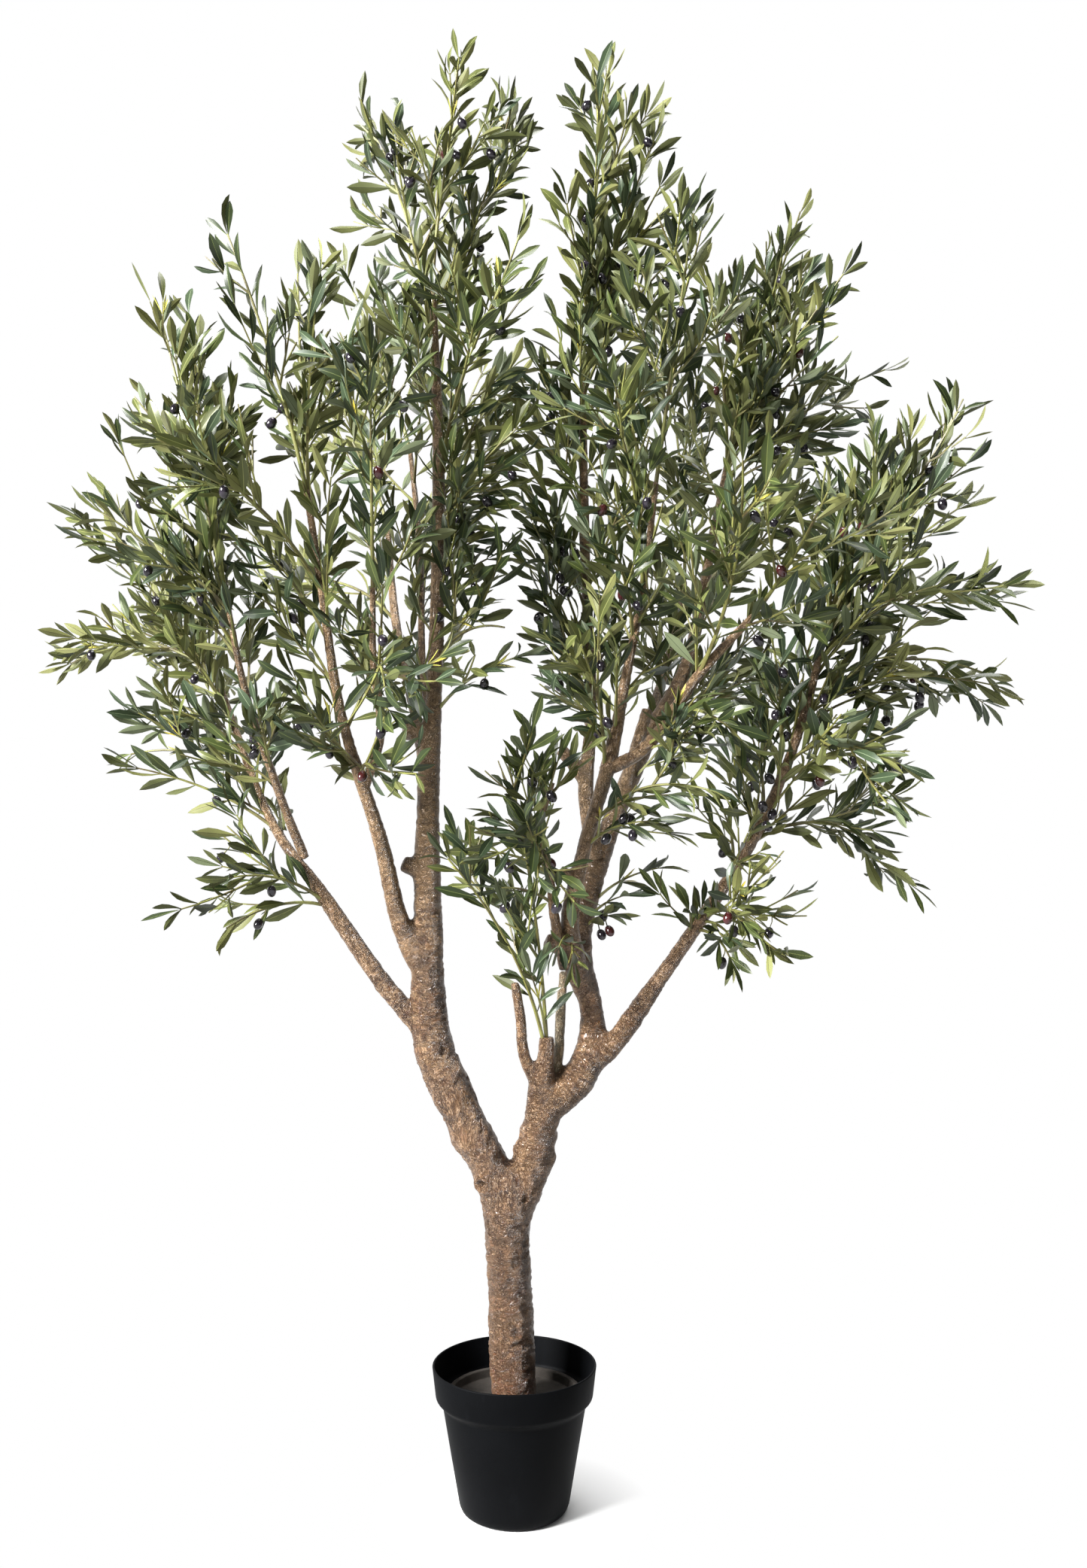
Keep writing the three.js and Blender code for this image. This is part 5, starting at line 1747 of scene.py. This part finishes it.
class OLIVE_OT_fill(bpy.types.Operator):
    """Turns the cement that holds the trunk, with the raised ring of its casting pot."""

    bl_idname = "olive_tree.fill"
    bl_label = "Cement"

    def execute(self, context):
        s = context.scene.olive_pot
        inside = s.foot_radius - s.wall
        top = FILL_TOP_RADIUS * MM
        ring = FILL_RING_LEVEL * MM
        level = FILL_LEVEL * MM
        # The underside, how far its edge stands in, the gap to the wall, and the dish in the top.
        bottom, corner, gap = 0.0035, 0.0123, 0.0006
        dish_radius, dish = 0.0905 * 0.62, 0.0012
        profile = [
            (AXIS, bottom), (inside - corner, bottom), (inside - gap, 0.012), (top, 0.154),
            (top - 0.002, ring), (top - 0.009, ring), (top - 0.011, level + dish),
            (dish_radius, level), (AXIS, level + dish),
        ]
        fill = turned(rounded(profile, 0.0016, 3), 96)
        fill.data.materials.append(cast_cement(s))
        smooth_by_angle(fill, 40)
        add_piece(fill, "cement_fill", "cement", "fill")
        return {"FINISHED"}


# Boughs whose skin is one with the trunk's, and how many times each skin is smoothed.
THICK_LIMBS = ("left_main", "right_main", "left_low", "left_mid", "right_low", "right_front", "centre")
TRUNK_SMOOTHING = 38
BOUGH_SMOOTHING = 20


class OLIVE_OT_bark(bpy.types.Operator):
    """Grows the trunk and boughs as skins with the bark's relief."""

    bl_idname = "olive_tree.bark"
    bl_label = "Trunk and boughs"

    def execute(self, context):
        s = context.scene.olive_bark
        bark = painted_bark(s)
        stubs = {name: [points for carrier, points in STUBS if carrier == name] for name in BOUGHS}
        thick = [*TRUNK]
        for name in THICK_LIMBS:
            thick += [BOUGHS[name], *stubs[name]]
        # The last of them is the pale shoot of the centre bough.
        trunk = bark_piece(thick, s.voxel, s.lump_height, TRUNK_SMOOTHING, len(thick) - 1)
        trunk.data.materials.append(bark)
        add_piece(trunk, "trunk_bark", "bark", "trunk", *THICK_LIMBS)
        names = [name for name in BOUGHS if name not in THICK_LIMBS]
        thin = []
        for name in names:
            thin += [BOUGHS[name], *stubs[name]]
        boughs = bark_piece(thin, s.thin_voxel, s.lump_height, BOUGH_SMOOTHING)
        boughs.data.materials.append(bark)
        add_piece(boughs, "bough_bark", "bark", *names)
        return {"FINISHED"}


# Roughness of the upper blade, upper rib, lower blade and lower rib.
LEAF_ROUGHNESS = (0.34, 0.5, 0.55, 0.6)
YOUNG_ROUGHNESS = (0.45, 0.5, 0.5, 0.5)

# An olive's width as a share of its length, how far its stalk bows out and the stalk's radii.
OLIVE_WIDTH = 0.74
STALK_BOW = (1.5, 0, 0)
STALK_RADII = (0.9, 0.8, 0.9)


class OLIVE_OT_foliage(bpy.types.Operator):
    """Grows the whole crown: stems, twigs, leaves, young leaves and olives."""

    bl_idname = "olive_tree.foliage"
    bl_label = "Foliage"

    def execute(self, context):
        s = context.scene.olive_foliage
        grown = Foliage(s)
        length, width = s.leaf_length / MM, s.leaf_width / MM
        wood = mesh_piece(*joined([tube(*row) for row in grown.wood]), [green_twig()])
        smooth_by_angle(wood, 60)
        add_piece(wood, "stems_and_twigs", "bark")
        counts = {}
        for number, (kind, colours) in enumerate(LEAF_COLOURS.items()):
            rows = [leaf for leaf in grown.leaves if leaf[-1] == number]
            cloths = leaf_cloths(f"leaf_cloth_{kind}", colours, LEAF_ROUGHNESS)
            leaves = leaf_piece(rows, length, width, cloths)
            # The first of the leaves' pieces stands for all the solid masses.
            add_piece(leaves, f"leaves_{kind}", "foliage", *(MASSES if number == 0 else ()))
            counts[kind] = len(rows)
        cloths = leaf_cloths("young_leaf", YOUNG_COLOURS, YOUNG_ROUGHNESS)
        buds = leaf_piece(grown.buds, length, width, cloths)
        add_piece(buds, "young_leaves", "foliage")
        counts["young"] = len(grown.buds)
        self.add_olives(grown.olives, s.olive_length)
        print("leaves", counts, "olives", len(grown.olives), "shoots", len(grown.wood))
        return {"FINISHED"}

    def add_olives(self, rows, length):
        stalks = []
        fruit = {False: [], True: []}
        for at, drop, reach, ripe_red in rows:
            end = at + drop * reach
            stalks.append(tube([at, (at + end) / 2 + STALK_BOW, end], STALK_RADII, TWIG_SIDES))
            deselect_all()
            middle = Vector((end + drop * length / MM / 2) * MM)
            bpy.ops.mesh.primitive_uv_sphere_add(
                segments=16, ring_count=10, radius=length / 2, location=middle
            )
            olive = bpy.context.object
            olive.rotation_mode = "QUATERNION"
            olive.rotation_quaternion = Vector(drop).to_track_quat("Z", "Y")
            olive.scale = (OLIVE_WIDTH, OLIVE_WIDTH, 1)
            bpy.ops.object.transform_apply(location=True, rotation=True, scale=True)
            fruit[ripe_red].append(olive)
        looks = {
            False: ("olives_black", olive_skin("lacquered_olive_black", "#17131a", "#2c2530")),
            True: ("olives_red", olive_skin("lacquered_olive_red", "#3a1214", "#4c2020")),
        }
        for red, olives in fruit.items():
            name, skin = looks[red]
            choose(*olives)
            bpy.ops.object.join()
            piece = bpy.context.object
            piece.data.materials.append(skin)
            bpy.ops.object.shade_smooth()
            add_piece(piece, name, "foliage")
        stalk = mesh_piece(*joined(stalks), [green_twig()])
        smooth_by_angle(stalk, 60)
        add_piece(stalk, "olive_stalks", "bark")


FLOOR_RADIUS = 14

# Between these distances in metres from the trunk the paper of the floor gives way to a white glow.
GLOW_FROM = 0.07
GLOW_FULL = 0.2

# A lamp: its place, what it points at, its size in metres and its power in watts.
LAMPS = {
    "key": ((-5.4, -4.0, 4.6), (0, 0, 1.0), 2.6, 2300),
    "top": ((0.4, 0.7, 4.4), (0, 0, 1.2), 2.2, 150),
}

# Light of the studio by direction: to the right, to the back and up. A white wall stands behind the tree,
# the room in front and the ceiling are dimmer, and the right side is dark.
STUDIO = (
    ((0.36, WHITE), (0.66, grey(0.16))),
    ((0.0, grey(0.34)), (0.62, WHITE)),
    ((0.46, WHITE), (0.8, grey(0.36))),
)


class OLIVE_OT_stage(bpy.types.Operator):
    """Adds the pale floor, the soft studio light and the camera."""

    bl_idname = "olive_tree.stage"
    bl_label = "Floor, light and camera"

    def execute(self, context):
        s = context.scene.olive_stage
        scene = context.scene
        scene.view_settings.view_transform = "Standard"
        deselect_all()
        bpy.ops.mesh.primitive_circle_add(
            vertices=96, radius=FLOOR_RADIUS, location=(0, 0, 0), fill_type="NGON"
        )
        floor = context.object
        floor.name = "floor"
        material, tree, shader = new_material("matt_paper_floor", Roughness=0.9)
        # Faint clouds of about 0.3 m.
        cloud = pattern(tree, "ShaderNodeTexNoise", 3, Detail=2).outputs["Fac"]
        stops = ((0.3, opaque(s.floor, 0.985)), (0.7, opaque(s.floor)))
        shade = add_node(tree, "ShaderNodeValToRGB", {"Fac": cloud}, stops)
        tree.links.new(shade.outputs[0], shader.inputs["Base Color"])
        # Round the pot the floor takes its shadow. Further out it glows as white as the studio behind it, so
        # no horizon shows.
        place = add_node(tree, "ShaderNodeTexCoord").outputs["Object"]
        far = add_node(tree, "ShaderNodeVectorMath", {0: place}, operation="LENGTH").outputs["Value"]
        inputs = {"Value": far, "From Min": GLOW_FROM, "From Max": GLOW_FULL}
        edge = add_node(tree, "ShaderNodeMapRange", inputs).outputs[0]
        glow = add_node(tree, "ShaderNodeEmission").outputs[0]
        blend = add_node(tree, "ShaderNodeMixShader", {0: edge, 1: shader.outputs[0], 2: glow})
        tree.links.new(blend.outputs[0], tree.nodes["Material Output"].inputs["Surface"])
        floor.data.materials.append(material)
        floor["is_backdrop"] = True
        world = bpy.data.worlds.new("studio")
        world.use_nodes = True
        studio = world.node_tree
        way = add_node(studio, "ShaderNodeTexCoord").outputs["Generated"]
        directions = add_node(studio, "ShaderNodeSeparateXYZ", {0: way}).outputs
        light = WHITE
        for direction, stops in zip(directions, STUDIO):
            level = add_node(studio, "ShaderNodeValToRGB", {"Fac": direction}, stops).outputs[0]
            inputs = {0: 1.0, 6: light, 7: level}
            product = add_node(studio, "ShaderNodeMix", inputs, data_type="RGBA", blend_type="MULTIPLY")
            light = product.outputs[2]
        studio.links.new(light, studio.nodes["Background"].inputs["Color"])
        scene.world = world
        for name, (place, aim, size, power) in LAMPS.items():
            bpy.ops.object.light_add(type="AREA", location=place)
            lamp = context.object
            lamp.name = f"lamp_{name}"
            lamp.data.size = size
            lamp.data.energy = power
            way = Vector(aim) - Vector(place)
            lamp.rotation_mode = "QUATERNION"
            lamp.rotation_quaternion = way.to_track_quat("-Z", "Y")
        place = [part * MM for part in EYE]
        bpy.ops.object.camera_add(location=place, rotation=(math.radians(90), 0, 0))
        camera = context.object
        camera.name = "camera"
        camera.data.sensor_width = 36
        camera.data.lens = s.lens
        scene.camera = camera
        return {"FINISHED"}


class OLIVE_PT_panel(bpy.types.Panel):
    """The list of the tree's parts in the sidebar."""

    bl_idname = "OLIVE_PT_panel"
    bl_label = "Olive Tree"
    bl_space_type = "VIEW_3D"
    bl_region_type = "UI"
    bl_category = "Olive Tree"

    def draw(self, context):
        for name in STEPS:
            self.layout.operator(f"olive_tree.{name}")
        for name in SETTINGS:
            group = getattr(context.scene, f"olive_{name}")
            box = self.layout.box()
            for key in group.bl_rna.properties.keys():
                if key not in ("rna_type", "name"):
                    box.prop(group, key)


STEPS = ("pot", "fill", "bark", "foliage", "stage")
SETTINGS = {"pot": PotSettings, "bark": BarkSettings, "foliage": FoliageSettings, "stage": StageSettings}
CLASSES = (
    PotSettings, BarkSettings, FoliageSettings, StageSettings,
    OLIVE_OT_pot, OLIVE_OT_fill, OLIVE_OT_bark, OLIVE_OT_foliage, OLIVE_OT_stage, OLIVE_PT_panel,
)


def register():
    for item in CLASSES:
        bpy.utils.register_class(item)
    for name, group in SETTINGS.items():
        setattr(bpy.types.Scene, f"olive_{name}", bpy.props.PointerProperty(type=group))


def unregister():
    for name in SETTINGS:
        delattr(bpy.types.Scene, f"olive_{name}")
    for item in reversed(CLASSES):
        bpy.utils.unregister_class(item)


def main():
    register()
    for name in STEPS:
        getattr(bpy.ops.olive_tree, name)()
    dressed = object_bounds()
    sizes = {"cad": CAD_BOX, "visual": dressed}
    {name: [list(low), list(high)] for name, (low, high) in sizes.items()}


if __name__ == "__main__":
    main()
